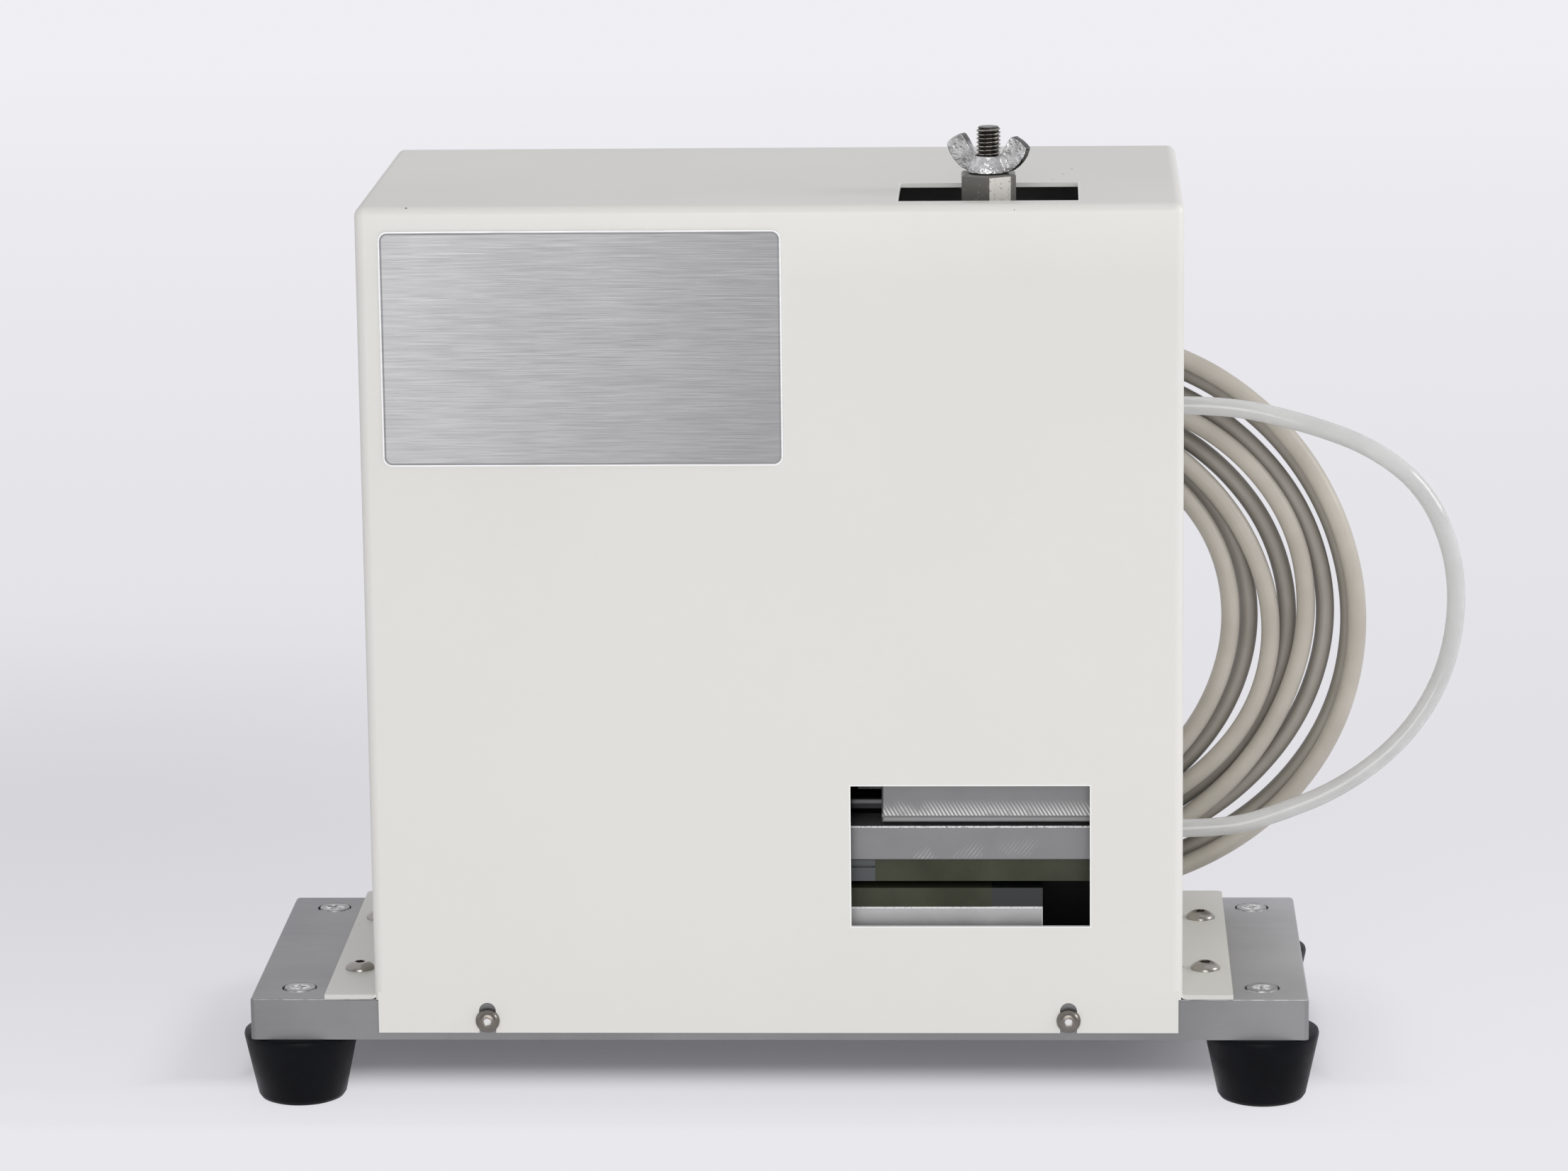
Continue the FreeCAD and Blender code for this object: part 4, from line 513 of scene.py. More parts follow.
def dress(finish, *names):
    """Give solid parts a finish."""
    for name in names:
        for material_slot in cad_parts[name].material_slots:
            material_slot.material = finish


def clouded_finish(name, colour, shade, roughness, metallic=0.0, scale=40.0, bump=0.0, **plain):
    """A finish that wanders softly between a colour and a darker shade of it."""
    finish = new_finish(name, colour, roughness, metallic, **plain)
    cloud = place_effect(
        finish,
        clouded,
        Colour=colour,
        Cloud_colour=tuple(c * shade for c in colour),
        Cloud_scale=scale,
        Gloss_low=roughness * 0.85,
        Gloss_high=min(1.0, roughness * 1.2),
    )
    if bump:
        raise_surface(finish, cloud["Grain"], bump, 0.5)
    return finish


rubber = clouded_finish(
    "black_rubber", (0.0035, 0.004, 0.006), 0.6, 0.4, scale=90.0, bump=0.0001, Specular_IOR_Level=0.1
)
FOOT_X = 0.156
FEET_MIDDLE_Y = -0.00725
FEET_HALF_Y = 0.04925
FOOT_SPOTS = [
    (x, FEET_MIDDLE_Y + side * FEET_HALF_Y) for x in (-FOOT_X, FOOT_X) for side in (-1, 1)
]
FOOT_PROFILE = [
    (0.00275, 0.01), (0.0085, 0.01), (0.0085, 0.0008), (0.0093, 0), (0.0122, 0), (0.0134, 0.0005),
    (0.0143, 0.0018), (0.0183, 0.0206), (0.01845, 0.0217), (0.0182, 0.0226), (0.0174, 0.023),
    (0.00275, 0.023),
]


def round_axis(axis, reach, share, height):
    """The point at a share of a turn round an upright axis."""
    turn = 2 * math.pi * share
    return Vector((axis[0] + reach * math.cos(turn), axis[1] + reach * math.sin(turn), height))


def turned_rings(profile, sides, axis=(0, 0)):
    """The rings of a turned shape, one for each step round its upright axis."""
    shares = [j / sides for j in range(sides)]
    return [[round_axis(axis, reach, share, height) for reach, height in profile] for share in shares]


feet_build = bmesh.new()
for foot_spot in FOOT_SPOTS:
    join_rings(feet_build, turned_rings(FOOT_PROFILE, 72, foot_spot))
feet = new_piece("moulded_feet", feet_build)
feet.data.materials.append(rubber)
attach(feet, "base")
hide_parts("rubber_feet")
bright_zinc = clouded_finish("bright_zinc", (0.72, 0.72, 0.73), 0.75, 0.24, 1.0, scale=220.0)
dress(bright_zinc, "foot_washers", "foot_nuts")

# ---- Base plate ----
# A flat bar of aluminium, milled all over and bead blasted to a satin grey, with its top edges
# broken by a fine chamfer. A painted highlight runs along the top front edge, and the top and
# sides carry painted light and shade.

CLOUD_SCALE = 22.0
satin_metal, given, result = new_group(
    "satin_metal",
    {
        "Colour": (0.4, 0.4, 0.4, 1),
        "Shade": (0.3, 0.3, 0.3, 1),
        "Streak scale": (20.0, 20.0, 900.0),
        "Streaks": 0.3,
        "Gloss": 0.4,
    },
    {"Base Color": "Color", "Roughness": "Float", "Height": "Float"},
)
spot = own_place(satin_metal)
cloud = noise(spot, CLOUD_SCALE, 5.0)
streak = noise(move("MULTIPLY", spot, given["Streak scale"]), 1.0, 3.0)
share = times(sum_up("SUBTRACT", streak, 0.5), given["Streaks"])
share = sum_up("ADD", spread(cloud, 0.3, 0.7), share)
shaded = blend_colour(share, given["Colour"], given["Shade"])
rough = sum_up("MULTIPLY_ADD", times(streak, given["Streaks"]), 0.25, given["Gloss"])
join_up(result, Base_Color=shaded, Roughness=rough, Height=streak)


def satin_finish(name, colour, shade, gloss, streak_scale, streaks=0.3, metallic=1.0, bump=0.00002):
    """A metal finish with fine streaks along one direction."""
    finish = new_finish(name, colour, gloss, metallic)
    satin = place_effect(
        finish,
        satin_metal,
        Colour=colour,
        Shade=shade,
        Streak_scale=streak_scale,
        Streaks=streaks,
        Gloss=gloss,
    )
    raise_surface(finish, satin["Height"], bump, 0.4)
    return finish


def colour_of(finish):
    """The output that colours a material's shader."""
    return finish.node_tree.nodes["Principled BSDF"].inputs["Base Color"].links[0].from_socket


def toned(colour, tone):
    """A colour made lighter or darker."""
    return add_node("VectorMath", {0: colour, "Scale": tone}, operation="SCALE")["Vector"]


plate_aluminium = satin_finish(
    "plate_aluminium", (0.35, 0.35, 0.352), (0.28, 0.28, 0.285), 0.42, (30.0, 400.0, 700.0), 0.25, 0.7
)
PLATE_FRONT = -0.071
PLATE_TOP = 0.0365
PLATE_CHAMFER = 0.0003
BRIGHT_EDGE = (0.95, 0.95, 0.95, 1)
seen = source(plate_aluminium, "TexCoord")
places = split(seen["Object"])
# A painted highlight along the chamfer of the top front edge, broken up by noise like nicks.
upper_edge = sum_up("GREATER_THAN", places["Z"], PLATE_TOP - PLATE_CHAMFER)
front_edge = sum_up("LESS_THAN", places["Y"], PLATE_FRONT + PLATE_CHAMFER)
nicks_and_highlight = spread(noise(seen["Object"], 260.0, 3.0), 0.38, 0.55, 0.2, 0.9)
nicks_and_highlight = times(times(upper_edge, front_edge), nicks_and_highlight)
# The top is painted lighter towards the right and the upright faces darker, lightest at the right end:
# painted light and shade.
facing = split(seen["Normal"])
tone = spread(places["X"], -0.15, 0.15, 0.91, 1.4)
upward = spread(facing["Z"], 0.5, 0.9)
sideways = spread(places["X"], 0.12, 0.165, 0.75, 0.9)
tone = sum_up("MULTIPLY_ADD", sum_up("SUBTRACT", tone, sideways), upward, sideways)
bare = toned(colour_of(plate_aluminium), tone)
drive(plate_aluminium, Base_Color=blend_colour(nicks_and_highlight, bare, BRIGHT_EDGE))
drive(plate_aluminium, Metallic=spread(nicks_and_highlight, 0.0, 1.0, 0.7, 0.0))
dress(plate_aluminium, "base_plate")

# ---- Frame plate and gussets ----
# The upright that carries both guide rails, black anodised aluminium, bolted through the base
# plate from below and propped by two gussets.

dark_steel = clouded_finish("dark_steel", (0.016, 0.016, 0.018), 0.6, 0.48, 0.4, scale=70.0)
dress(dark_steel, "frame_plate", "frame_gussets", "frame_bolts")

# ---- Linear guides, racks and pinion ----
# Ground steel rails with their sliding blocks, and two racks that share one pinion, so the lower
# table runs back as the upper carriage runs out.

ground_steel = satin_finish(
    "ground_steel", (0.5, 0.5, 0.51), (0.38, 0.38, 0.39), 0.28, (40.0, 900.0, 900.0), 0.4
)
dress(ground_steel, "upper_rail", "lower_rail", "upper_guide_block", "lower_guide_block")
dress(ground_steel, "guide_pins", "pinion_shaft", "pinion_spacer")
# The piston rod is coloured nearly black, a painted shade for the dark inside of the cover.
rod_steel = clouded_finish("rod_steel", (0.035, 0.035, 0.036), 0.7, 0.2, 1.0, scale=140.0)
dress(rod_steel, "piston_rod")
gear_steel = clouded_finish("gear_steel", (0.34, 0.34, 0.35), 0.65, 0.34, 1.0, scale=160.0)
dress(gear_steel, "upper_rack", "lower_rack", "pinion")
screw_steel = clouded_finish("stainless_screws", (0.38, 0.36, 0.33), 0.85, 0.27, 1.0, scale=160.0)
dress(screw_steel, "upper_rail_screws", "lower_rail_screws", "bracket_screws")

# ---- Upper carriage, platens and lower table ----
# Blocks of aluminium, fly cut on their faces. The cutter left patches of bright slanting marks,
# and the top edges are broken. Those edges carry a painted highlight, and the shoulders past a
# step are painted in dark shade.

CARRIAGE_FRONT = -0.0645
cutter_marks, given, result = new_group(
    "cutter_marks",
    {
        "Colour": (0.4, 0.4, 0.4, 1),
        "Lower colour": (0.5, 0.5, 0.5, 1),
        "Mark colour": (0.8, 0.8, 0.8, 1),
        "Slant": 0.5,
        "Spacing": 0.0007,
        "Low": 0.0,
        "High": 0.01,
        "Patch scale": 90.0,
        "Bare": 0.5,
        "Edge level": 1.0,
        "Edge right": 1.0,
        "Step level": 1.0,
        "Step side": 1.0,
        "Step colour": (0.06, 0.065, 0.07, 1),
        "Metal": 0.5,
    },
    {"Base Color": "Color", "Metallic": "Float", "Marks": "Float"},
)
spot = own_place(cutter_marks)
places = split(spot)
ramp = spread(places["Z"], given["High"], given["Low"], kind="SMOOTHSTEP")
across = times(places["X"], sum_up("COSINE", given["Slant"]))
slanted = sum_up("MULTIPLY_ADD", places["Z"], sum_up("SINE", given["Slant"]), across)
slanted = sum_up("MULTIPLY_ADD", noise(spot, 160.0, 2.0), 0.0004, slanted)
turns = sum_up("FRACT", sum_up("DIVIDE", slanted, given["Spacing"]))
lines = spread(sum_up("ABSOLUTE", sum_up("SUBTRACT", turns, 0.5)), 0.2, 0.4)
patches = noise(spot, given["Patch scale"], 3.0)
patches = spread(sum_up("SUBTRACT", patches, given["Bare"]), 0.0, 0.12)
band = times(spread(sum_up("SUBTRACT", places["Z"], given["Low"]), 0.0, 0.0006), ramp)
marks = times(times(lines, patches), band)
body_colour = blend_colour(ramp, given["Colour"], given["Lower colour"])
scuffs = spread(noise(spot, 75.0, 6.0), 0.3, 0.7, 0.0, 0.16)
body_colour = blend_colour(scuffs, body_colour, (0.1, 0.1, 0.1, 1))
marked = blend_colour(marks, body_colour, given["Mark colour"])
# Past the step level the surface is painted dark and dull, a painted shade on the shoulder.
past_step = times(sum_up("SUBTRACT", places["Z"], given["Step level"]), given["Step side"])
past_step = sum_up("GREATER_THAN", past_step, 0.0)
marked = blend_colour(past_step, marked, given["Step colour"])
# A painted highlight, near white and dull, along the broken top edge and the table's right end edge.
on_edge = sum_up("GREATER_THAN", places["Z"], given["Edge level"])
on_edge = sum_up("MAXIMUM", on_edge, sum_up("GREATER_THAN", places["X"], given["Edge right"]))
on_edge = times(on_edge, sum_up("LESS_THAN", places["Y"], CARRIAGE_FRONT + 0.0006))
on_edge = times(on_edge, sum_up("SUBTRACT", 1.0, past_step))
on_edge = times(on_edge, spread(noise(spot, 1400.0, 1.0), 0.3, 0.5, 0.4, 1.0))
edged = blend_colour(on_edge, marked, BRIGHT_EDGE)
dulled = times(given["Metal"], sum_up("SUBTRACT", 1.0, sum_up("MAXIMUM", on_edge, past_step)))
join_up(result, Base_Color=edged, Metallic=dulled, Marks=marks)


def milled_finish(name, gloss, **values):
    """Milled aluminium, with its own patches of cutter marks."""
    finish = new_finish(name, values["Colour"], gloss, values["Metal"])
    milled = place_effect(finish, cutter_marks, **values)
    raise_surface(finish, milled["Marks"], 0.00003, 0.5)
    return finish


carriage_milled = milled_finish(
    "carriage_milled",
    0.36,
    Colour=(0.212, 0.212, 0.213),
    Lower_colour=(0.26, 0.26, 0.26),
    Mark_colour=(0.74, 0.73, 0.71),
    Slant=math.radians(30),
    Spacing=0.00108,
    Low=0.0954,
    High=0.1015,
    Patch_scale=85.0,
    Bare=0.36,
    Metal=0.55,
)
dress(carriage_milled, "upper_carriage")
platen_milled = milled_finish(
    "platen_milled",
    0.36,
    Colour=(0.234, 0.234, 0.237),
    Lower_colour=(0.233, 0.233, 0.237),
    Mark_colour=(0.42, 0.42, 0.42),
    Slant=math.radians(-38),
    Spacing=0.0011,
    Low=0.0812,
    High=0.0895,
    Patch_scale=60.0,
    Bare=0.53,
    Edge_level=0.0917,
    Step_level=0.08105,
    Step_side=-1.0,
    Step_colour=(0.06, 0.065, 0.068),
    Metal=0.5,
)
dress(platen_milled, "upper_platen")
table_milled = milled_finish(
    "table_milled",
    0.4,
    Colour=(0.54, 0.54, 0.54),
    Lower_colour=(0.47, 0.47, 0.47),
    Mark_colour=(0.92, 0.92, 0.92),
    Slant=math.radians(38),
    Spacing=0.0009,
    Low=0.05,
    High=0.066,
    Patch_scale=55.0,
    Bare=0.5,
    Edge_level=0.06495,
    Edge_right=0.08485,
    Step_level=0.06545,
    Step_colour=(0.0128, 0.0143, 0.0154),
    Metal=0.3,
)
dress(table_milled, "lower_carriage")

# ---- Pads ----
# Olive polyurethane pads glued into the platen and the table. They grip the wire and roll it.

olive_pad = clouded_finish(
    "olive_pad", (0.048, 0.052, 0.031), 0.8, 0.6, scale=60.0, bump=0.00015, Specular_IOR_Level=0.25
)
dress(olive_pad, "upper_pad", "lower_pad")

# ---- Adjusting column ----
# A hexagon bar screwed into the carriage. It comes up through the slot in the cover and carries
# the wing nut. One of its faces is painted bright, as a painted highlight.

LIT_FACE_EDGE = 0.0758
column_steel = new_finish("column_steel", (0.1, 0.097, 0.088), 0.4, 0.3)
seen = source(column_steel, "TexCoord")
facing = split(seen["Normal"])
# One face is painted bright with a ragged edge, a painted highlight, and the others stay dull.
lit_face = spread(facing["X"], 0.4, 0.45)
lit_face = times(lit_face, spread(facing["Y"], -0.7, -0.75))
pits = noise(seen["Object"], 900.0, 3.0)
ragged = sum_up("MULTIPLY_ADD", pits, 0.0006, split(seen["Object"])["X"])
lit_face = times(lit_face, spread(ragged, LIT_FACE_EDGE + 0.0005, LIT_FACE_EDGE + 0.0001))
dull = blend_colour(spread(pits, 0.62, 0.72), (0.17, 0.165, 0.15, 1), (0.33, 0.32, 0.3, 1))
face_highlight = blend_colour(spread(pits, 0.3, 0.42), (0.34, 0.33, 0.31, 1), (0.78, 0.755, 0.7, 1))
drive(column_steel, Base_Color=blend_colour(lit_face, dull, face_highlight))
raise_surface(column_steel, pits, 0.00006, 0.6)
dress(column_steel, "adjusting_column")

# ---- Pressure stud ----
# An M8 steel stud that lifts the upper platen. Its top is threaded for the wing nut and
# chamfered.

STUD_AXIS = (0.0688, -0.045)
STUD_RADIUS = 0.0039
STUD_BOTTOM = 0.0832
STUD_TOP = 0.31505
STUD_SIDES = 36
STUD_CHAMFER = 0.0009
LOWER_CHAMFER = 0.0005
THREAD_BOTTOM = 0.285
THREAD_PITCH = 0.00125
THREAD_DEPTH = 0.0008
THREAD_STEPS = 10


def skin_bar(build, rings):
    """Skin a row of rings with faces and close its two ends."""
    rows = join_rings(build, rings, closed=False)
    build.faces.new(rows[0][::-1])
    build.faces.new(rows[-1])


def thread_radius(height, share):
    """How far the stud reaches from its axis at a height and a share of a turn."""
    risen = (height - THREAD_BOTTOM) / THREAD_PITCH
    wave = abs((risen - share) % 1 - 0.5) * 2
    reach = STUD_RADIUS - THREAD_DEPTH * min(1, risen) * min(1, max(0, 1.2 * wave - 0.1))
    return min(reach, STUD_RADIUS - STUD_CHAMFER + (STUD_TOP - height))


steps = round((STUD_TOP - THREAD_BOTTOM) / THREAD_PITCH * THREAD_STEPS)
shares = [j / STUD_SIDES for j in range(STUD_SIDES)]
stud_rings = [
    [round_axis(STUD_AXIS, STUD_RADIUS - LOWER_CHAMFER, share, STUD_BOTTOM) for share in shares],
    [round_axis(STUD_AXIS, STUD_RADIUS, share, STUD_BOTTOM + LOWER_CHAMFER) for share in shares],
]
for i in range(steps + 1):
    height = THREAD_BOTTOM + (STUD_TOP - THREAD_BOTTOM) * i / steps
    reaches = [thread_radius(height, share) for share in shares]
    stud_rings.append([round_axis(STUD_AXIS, *pair, height) for pair in zip(reaches, shares)])
stud_build = bmesh.new()
skin_bar(stud_build, stud_rings)
stud = new_piece("pressure_stud", stud_build)


def from_stud(finish):
    """How far a point of the surface lies from the stud's axis."""
    return move("DISTANCE", move("MULTIPLY", own_place(finish), (1, 1, 0)), (*STUD_AXIS, 0))


stud_steel = clouded_finish("stud_steel", (0.52, 0.5, 0.455), 0.55, 0.3, 1.0, scale=260.0)
out = from_stud(stud_steel)
# The thread's roots are painted dark, a painted shade in the grooves.
groove = spread(out, STUD_RADIUS - 0.0001, STUD_RADIUS - THREAD_DEPTH * 0.7, 0.0, 0.9)
grooved = blend_colour(groove, colour_of(stud_steel), (0.05, 0.048, 0.044, 1))
drive(stud_steel, Base_Color=grooved)
stud.data.materials.append(stud_steel)
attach(stud, "upper_platen")
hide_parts("draw_stud")

# ---- Pressure springs ----
# Two compression springs of 1.6 mm wire, with closed coils at both ends, in pockets between the
# carriage and the platen. They push the platen down, and shorten as the stud draws it up; here
# they are drawn at one length and stay in place.

SPRING_WIRE = 0.0016
SPRING_RADIUS = 0.00395
SPRING_SPACING = 0.028
SPRING_TURNS = 5
SPRING_STEPS = 32
CLOSED_PITCH = 0.00162
spring_low, spring_high = (corner[2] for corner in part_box("pressure_springs"))
open_pitch = (spring_high - spring_low - SPRING_WIRE - 2 * CLOSED_PITCH) / (SPRING_TURNS - 2)
spring_build = bmesh.new()
for side in (-1, 1):
    middle = STUD_AXIS[0] + side * SPRING_SPACING / 2
    wire_line = []
    for i in range(SPRING_TURNS * SPRING_STEPS + 1):
        turn = i / SPRING_STEPS
        opened = min(max(turn - 1, 0), SPRING_TURNS - 2)
        height = spring_low + SPRING_WIRE / 2 + (turn - opened) * CLOSED_PITCH + opened * open_pitch
        wire_line.append(round_axis((middle, STUD_AXIS[1]), SPRING_RADIUS, turn, height))
    skin_bar(spring_build, tube_rings(wire_line, SPRING_WIRE / 2, 14))
springs = new_piece("pressure_spring_coils", spring_build)
spring_steel = clouded_finish("spring_steel", (0.2, 0.2, 0.21), 0.65, 0.3, 1.0, scale=400.0)
springs.data.materials.append(spring_steel)
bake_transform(springs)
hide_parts("pressure_springs")

# ---- Wing nut ----
# A cast, bright zinc plated wing nut of M8, with a flared boss and two rounded wings. Screwed
# down on the column, it draws the platen up.

WING_SEAT = 0.30035
WING_TURN = 152
WING_THICKNESS = 0.003
BOSS_RADIUS = 0.00655
WING_BOSS = [
    (0.0042, 0), (0.0061, 0), (BOSS_RADIUS, 0.0004), (0.0065, 0.0013), (0.0061, 0.0025), (0.0054, 0.004),
    (0.0049, 0.0052), (0.00475, 0.0056), (0.0042, 0.0056),
]
WING_OUTLINE = [
    (0.0044, 0.0045), (0.0049, 0.0056), (0.006, 0.0076), (0.0073, 0.0098), (0.0084, 0.0114),
    (0.0089, 0.0119), (0.0096, 0.01195), (0.0117, 0.0109), (0.0135, 0.0095), (0.0142, 0.0087),
    (0.0141, 0.0079), (0.0134, 0.006), (0.0122, 0.0042), (0.0107, 0.0026), (0.0088, 0.0012),
    (0.0066, 0.0004), (0.0045, 0.0004),
]
wing_build = bmesh.new()
join_rings(wing_build, turned_rings(WING_BOSS, 64))
for side in (1, -1):
    halves = (-WING_THICKNESS / 2, WING_THICKNESS / 2)
    skin_bar(wing_build, [[(side * out, half, up) for out, up in WING_OUTLINE] for half in halves])
wing_nut = new_piece("wing_nut_cast", wing_build)
remesh = wing_nut.modifiers.new("cast", "REMESH")
remesh.mode = "VOXEL"
remesh.voxel_size = 0.00018
soften = wing_nut.modifiers.new("soften", "SMOOTH")
soften.factor = 0.5
soften.iterations = 3


def bake_modifiers(piece):
    """Turn a piece's modifiers into its plain mesh."""
    bpy.context.view_layer.update()
    shaped = piece.evaluated_get(bpy.context.evaluated_depsgraph_get())
    mesh = bpy.data.meshes.new_from_object(shaped)
    piece.modifiers.clear()
    piece.data = mesh
    for polygon in mesh.polygons:
        polygon.use_smooth = True


bake_modifiers(wing_nut)
wing_nut.data.transform(
    Matrix.Translation((*STUD_AXIS, WING_SEAT)) @ Matrix.Rotation(math.radians(WING_TURN), 4, "Z")
)
wing_zinc = new_finish("wing_zinc", (0.74, 0.73, 0.71), 0.24, 1.0)
wing_cloud = place_effect(
    wing_zinc,
    clouded,
    Colour=(0.8, 0.797, 0.79),
    Cloud_colour=(0.45, 0.45, 0.444),
    Cloud_scale=330.0,
    Grain_scale=520.0,
    Gloss_low=0.34,
    Gloss_high=0.46,
)
# Downward faces and the wings' rims are painted dark, a painted shade.
facing = source(wing_zinc, "TexCoord")["Normal"]
under = spread(split(facing)["Z"], -0.05, -0.45, 0.0, 0.85, kind="SMOOTHSTEP")
turned = math.radians(WING_TURN)
square = (-math.sin(turned), math.cos(turned), 0)
edge_on = sum_up("ABSOLUTE", move("DOT_PRODUCT", facing, square))
edge_on = spread(edge_on, 0.94, 0.6, 0.0, 0.9)
on_wing = spread(from_stud(wing_zinc), BOSS_RADIUS - 0.00055, BOSS_RADIUS + 0.00095)
edge_on = times(edge_on, on_wing)
rim_shade = sum_up("MAXIMUM", under, edge_on)
drive(wing_zinc, Base_Color=blend_colour(rim_shade, wing_cloud["Base Color"], (0.07, 0.07, 0.07, 1)))
raise_surface(wing_zinc, wing_cloud["Grain"], 0.0011, 0.8)
wing_nut.data.materials.append(wing_zinc)
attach(wing_nut, "wing_nut")
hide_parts("wing_nut")

# ---- Air cylinder and valve ----
# A small double-acting cylinder with anodised caps on a bracket of the frame plate, and the
# solenoid valve that shuttles it, both inside the cover.

cylinder_metal = satin_finish(
    "cylinder_metal", (0.4, 0.4, 0.41), (0.3, 0.3, 0.31), 0.36, (30.0, 700.0, 700.0), 0.3
)
dress(cylinder_metal, "cylinder_tube", "cylinder_caps", "cylinder_nut", "cylinder_bracket")
valve_metal = clouded_finish("valve_metal", (0.3, 0.3, 0.31), 0.8, 0.4, 0.8, scale=60.0)
dress(valve_metal, "valve_body")
black_plastic = clouded_finish(
    "black_plastic", (0.016, 0.016, 0.017), 0.7, 0.45, scale=120.0, bump=0.0001
)
dress(black_plastic, "valve_coil", "cable_gland", "gland_locknut")
nickel = clouded_finish("nickel_fittings", (0.62, 0.59, 0.54), 0.85, 0.22, 1.0, scale=150.0)
dress(nickel, "cylinder_ports", "valve_ports", "air_inlet", "inlet_locknut")

# ---- Exhaust silencer ----
# A plug of sintered bronze beads that lets the valve's air out through the rear panel.

bronze = new_finish("sintered_bronze", (0.34, 0.21, 0.085), 0.5, 0.9)
beads = add_node("TexVoronoi", {"Vector": own_place(bronze), "Scale": 1500.0})["Distance"]
grainy = blend_colour(spread(beads, 0.1, 0.7), (0.42, 0.27, 0.11, 1), (0.09, 0.05, 0.02, 1))
drive(bronze, Base_Color=grainy)
raise_surface(bronze, sum_up("SUBTRACT", 1.0, beads), 0.0003, 0.9)
dress(bronze, "exhaust_silencer")

# ---- Cover ----
# Folded from 1.5 mm sheet steel, with flanges turned out at both sides, and powder coated a warm
# light grey outside. The inside is coloured a darker grey, as painted shade.

INNER_HALF_WIDTH = 0.12855
INNER_FRONT = -0.07105
INNER_TOP = 0.2928
INSIDE_SHADE_COLOUR = (0.5, 0.5, 0.5, 1)
shell_paint, given, result = new_group(
    "shell_paint",
    {"Colour": (0.7, 0.7, 0.7, 1), "Inner back": 0.0561},
    {"Base Color": "Color", "Roughness": "Float", "Peel": "Float"},
)
spot = own_place(shell_paint)
places = split(spot)
inside = 1.0
for test, place, limit in (
    ("LESS_THAN", sum_up("ABSOLUTE", places["X"]), INNER_HALF_WIDTH),
    ("GREATER_THAN", places["Y"], INNER_FRONT),
    ("LESS_THAN", places["Y"], given["Inner back"]),
    ("LESS_THAN", places["Z"], INNER_TOP),
):
    inside = times(inside, sum_up(test, place, limit))
tone = noise(spot, 9.0, 5.0)
soil = spread(tone, 0.4, 0.75, 0.0, 0.06)
soiled = blend_colour(soil, given["Colour"], (0.45, 0.43, 0.4, 1))
flecks = spread(noise(spot, 330.0, 0.0), 0.9, 0.91)
soiled = blend_colour(flecks, soiled, (0.22, 0.2, 0.18, 1))
# Inside the shell the colour is a darker grey, a painted shade for the dim inside.
coated = blend_colour(inside, soiled, INSIDE_SHADE_COLOUR)
rough = spread(tone, 0.3, 0.7, 0.36, 0.46)
rough = sum_up("MULTIPLY_ADD", inside, 0.4, rough)
join_up(result, Base_Color=coated, Roughness=rough, Peel=noise(spot, 520.0, 2.0))
COVER_COLOUR = (0.705, 0.698, 0.655)
WALL_OUTSIDE = 0.13
WINDOW_MIDDLE = (0.06225, 0.0, 0.0843)
WINDOW_HALF = (0.03815, 0.0, 0.02315)
SLOT_MIDDLE = (*STUD_AXIS, 0.0)
SLOT_HALF = (0.0283, 0.0195, 0.0)
cover_paint = new_finish("cover_paint", COVER_COLOUR, 0.4)
painted = place_effect(cover_paint, shell_paint, Colour=COVER_COLOUR)
spot = own_place(cover_paint)
places = split(spot)


def rim_of(middle, half, axes):
    """1 on a fine line round an opening cut through the sheet, 0 away from it."""
    out = split(beyond_box(spot, middle, half))
    return spread(sum_up("MAXIMUM", out[axes[0]], out[axes[1]]), 0.0005, 0.0002, 0.0, 0.75)


# A fine line round the window and the slot is painted near white, a painted highlight on the cut edges.
on_front = spread(places["Y"], INNER_FRONT - 0.00015, INNER_FRONT - 0.00055)
window_rim = times(rim_of(WINDOW_MIDDLE, WINDOW_HALF, "XZ"), on_front)
on_top = spread(places["Z"], INNER_TOP + 0.0001, INNER_TOP + 0.0003)
slot_rim = times(rim_of(SLOT_MIDDLE, SLOT_HALF, "XY"), on_top)
rim = sum_up("MAXIMUM", window_rim, slot_rim)
# The coat is painted lighter towards the bottom and again at the top, and darker on the flanges: painted
# light and shade.
tone = spread(places["Z"], 0.03, 0.27, 1.045, 0.965)
tone = sum_up("ADD", tone, spread(places["Z"], 0.27, 0.2925, 0.0, 0.06))
on_flange = sum_up("GREATER_THAN", sum_up("ABSOLUTE", places["X"]), WALL_OUTSIDE + 0.0002)
tone = sum_up("MULTIPLY_ADD", on_flange, -0.12, tone)
coat = blend_colour(rim, toned(painted["Base Color"], tone), (0.95, 0.95, 0.93, 1))
drive(cover_paint, Base_Color=coat)
raise_surface(cover_paint, painted["Peel"], 0.00006, 0.3)
dress(cover_paint, "cover")

# ---- Rear panel ----
# A flat sheet in the same coat that closes the back and carries the gland, the air inlet, the
# silencer and the saddle of the cable.

panel_paint = new_finish("panel_paint", COVER_COLOUR, 0.42)
painted = place_effect(panel_paint, shell_paint, Colour=COVER_COLOUR, Inner_back=0.05465)
raise_surface(panel_paint, painted["Peel"], 0.00006, 0.3)
dress(panel_paint, "rear_panel")

# ---- Nameplate ----
# A rounded plate of stainless steel, brushed along its length and stuck to the front. It is
# bare, with a fine pressed line just inside its edge. Its edge carries a painted highlight, the
# line a painted shade, and the plate a painted reflection that darkens it towards the right.

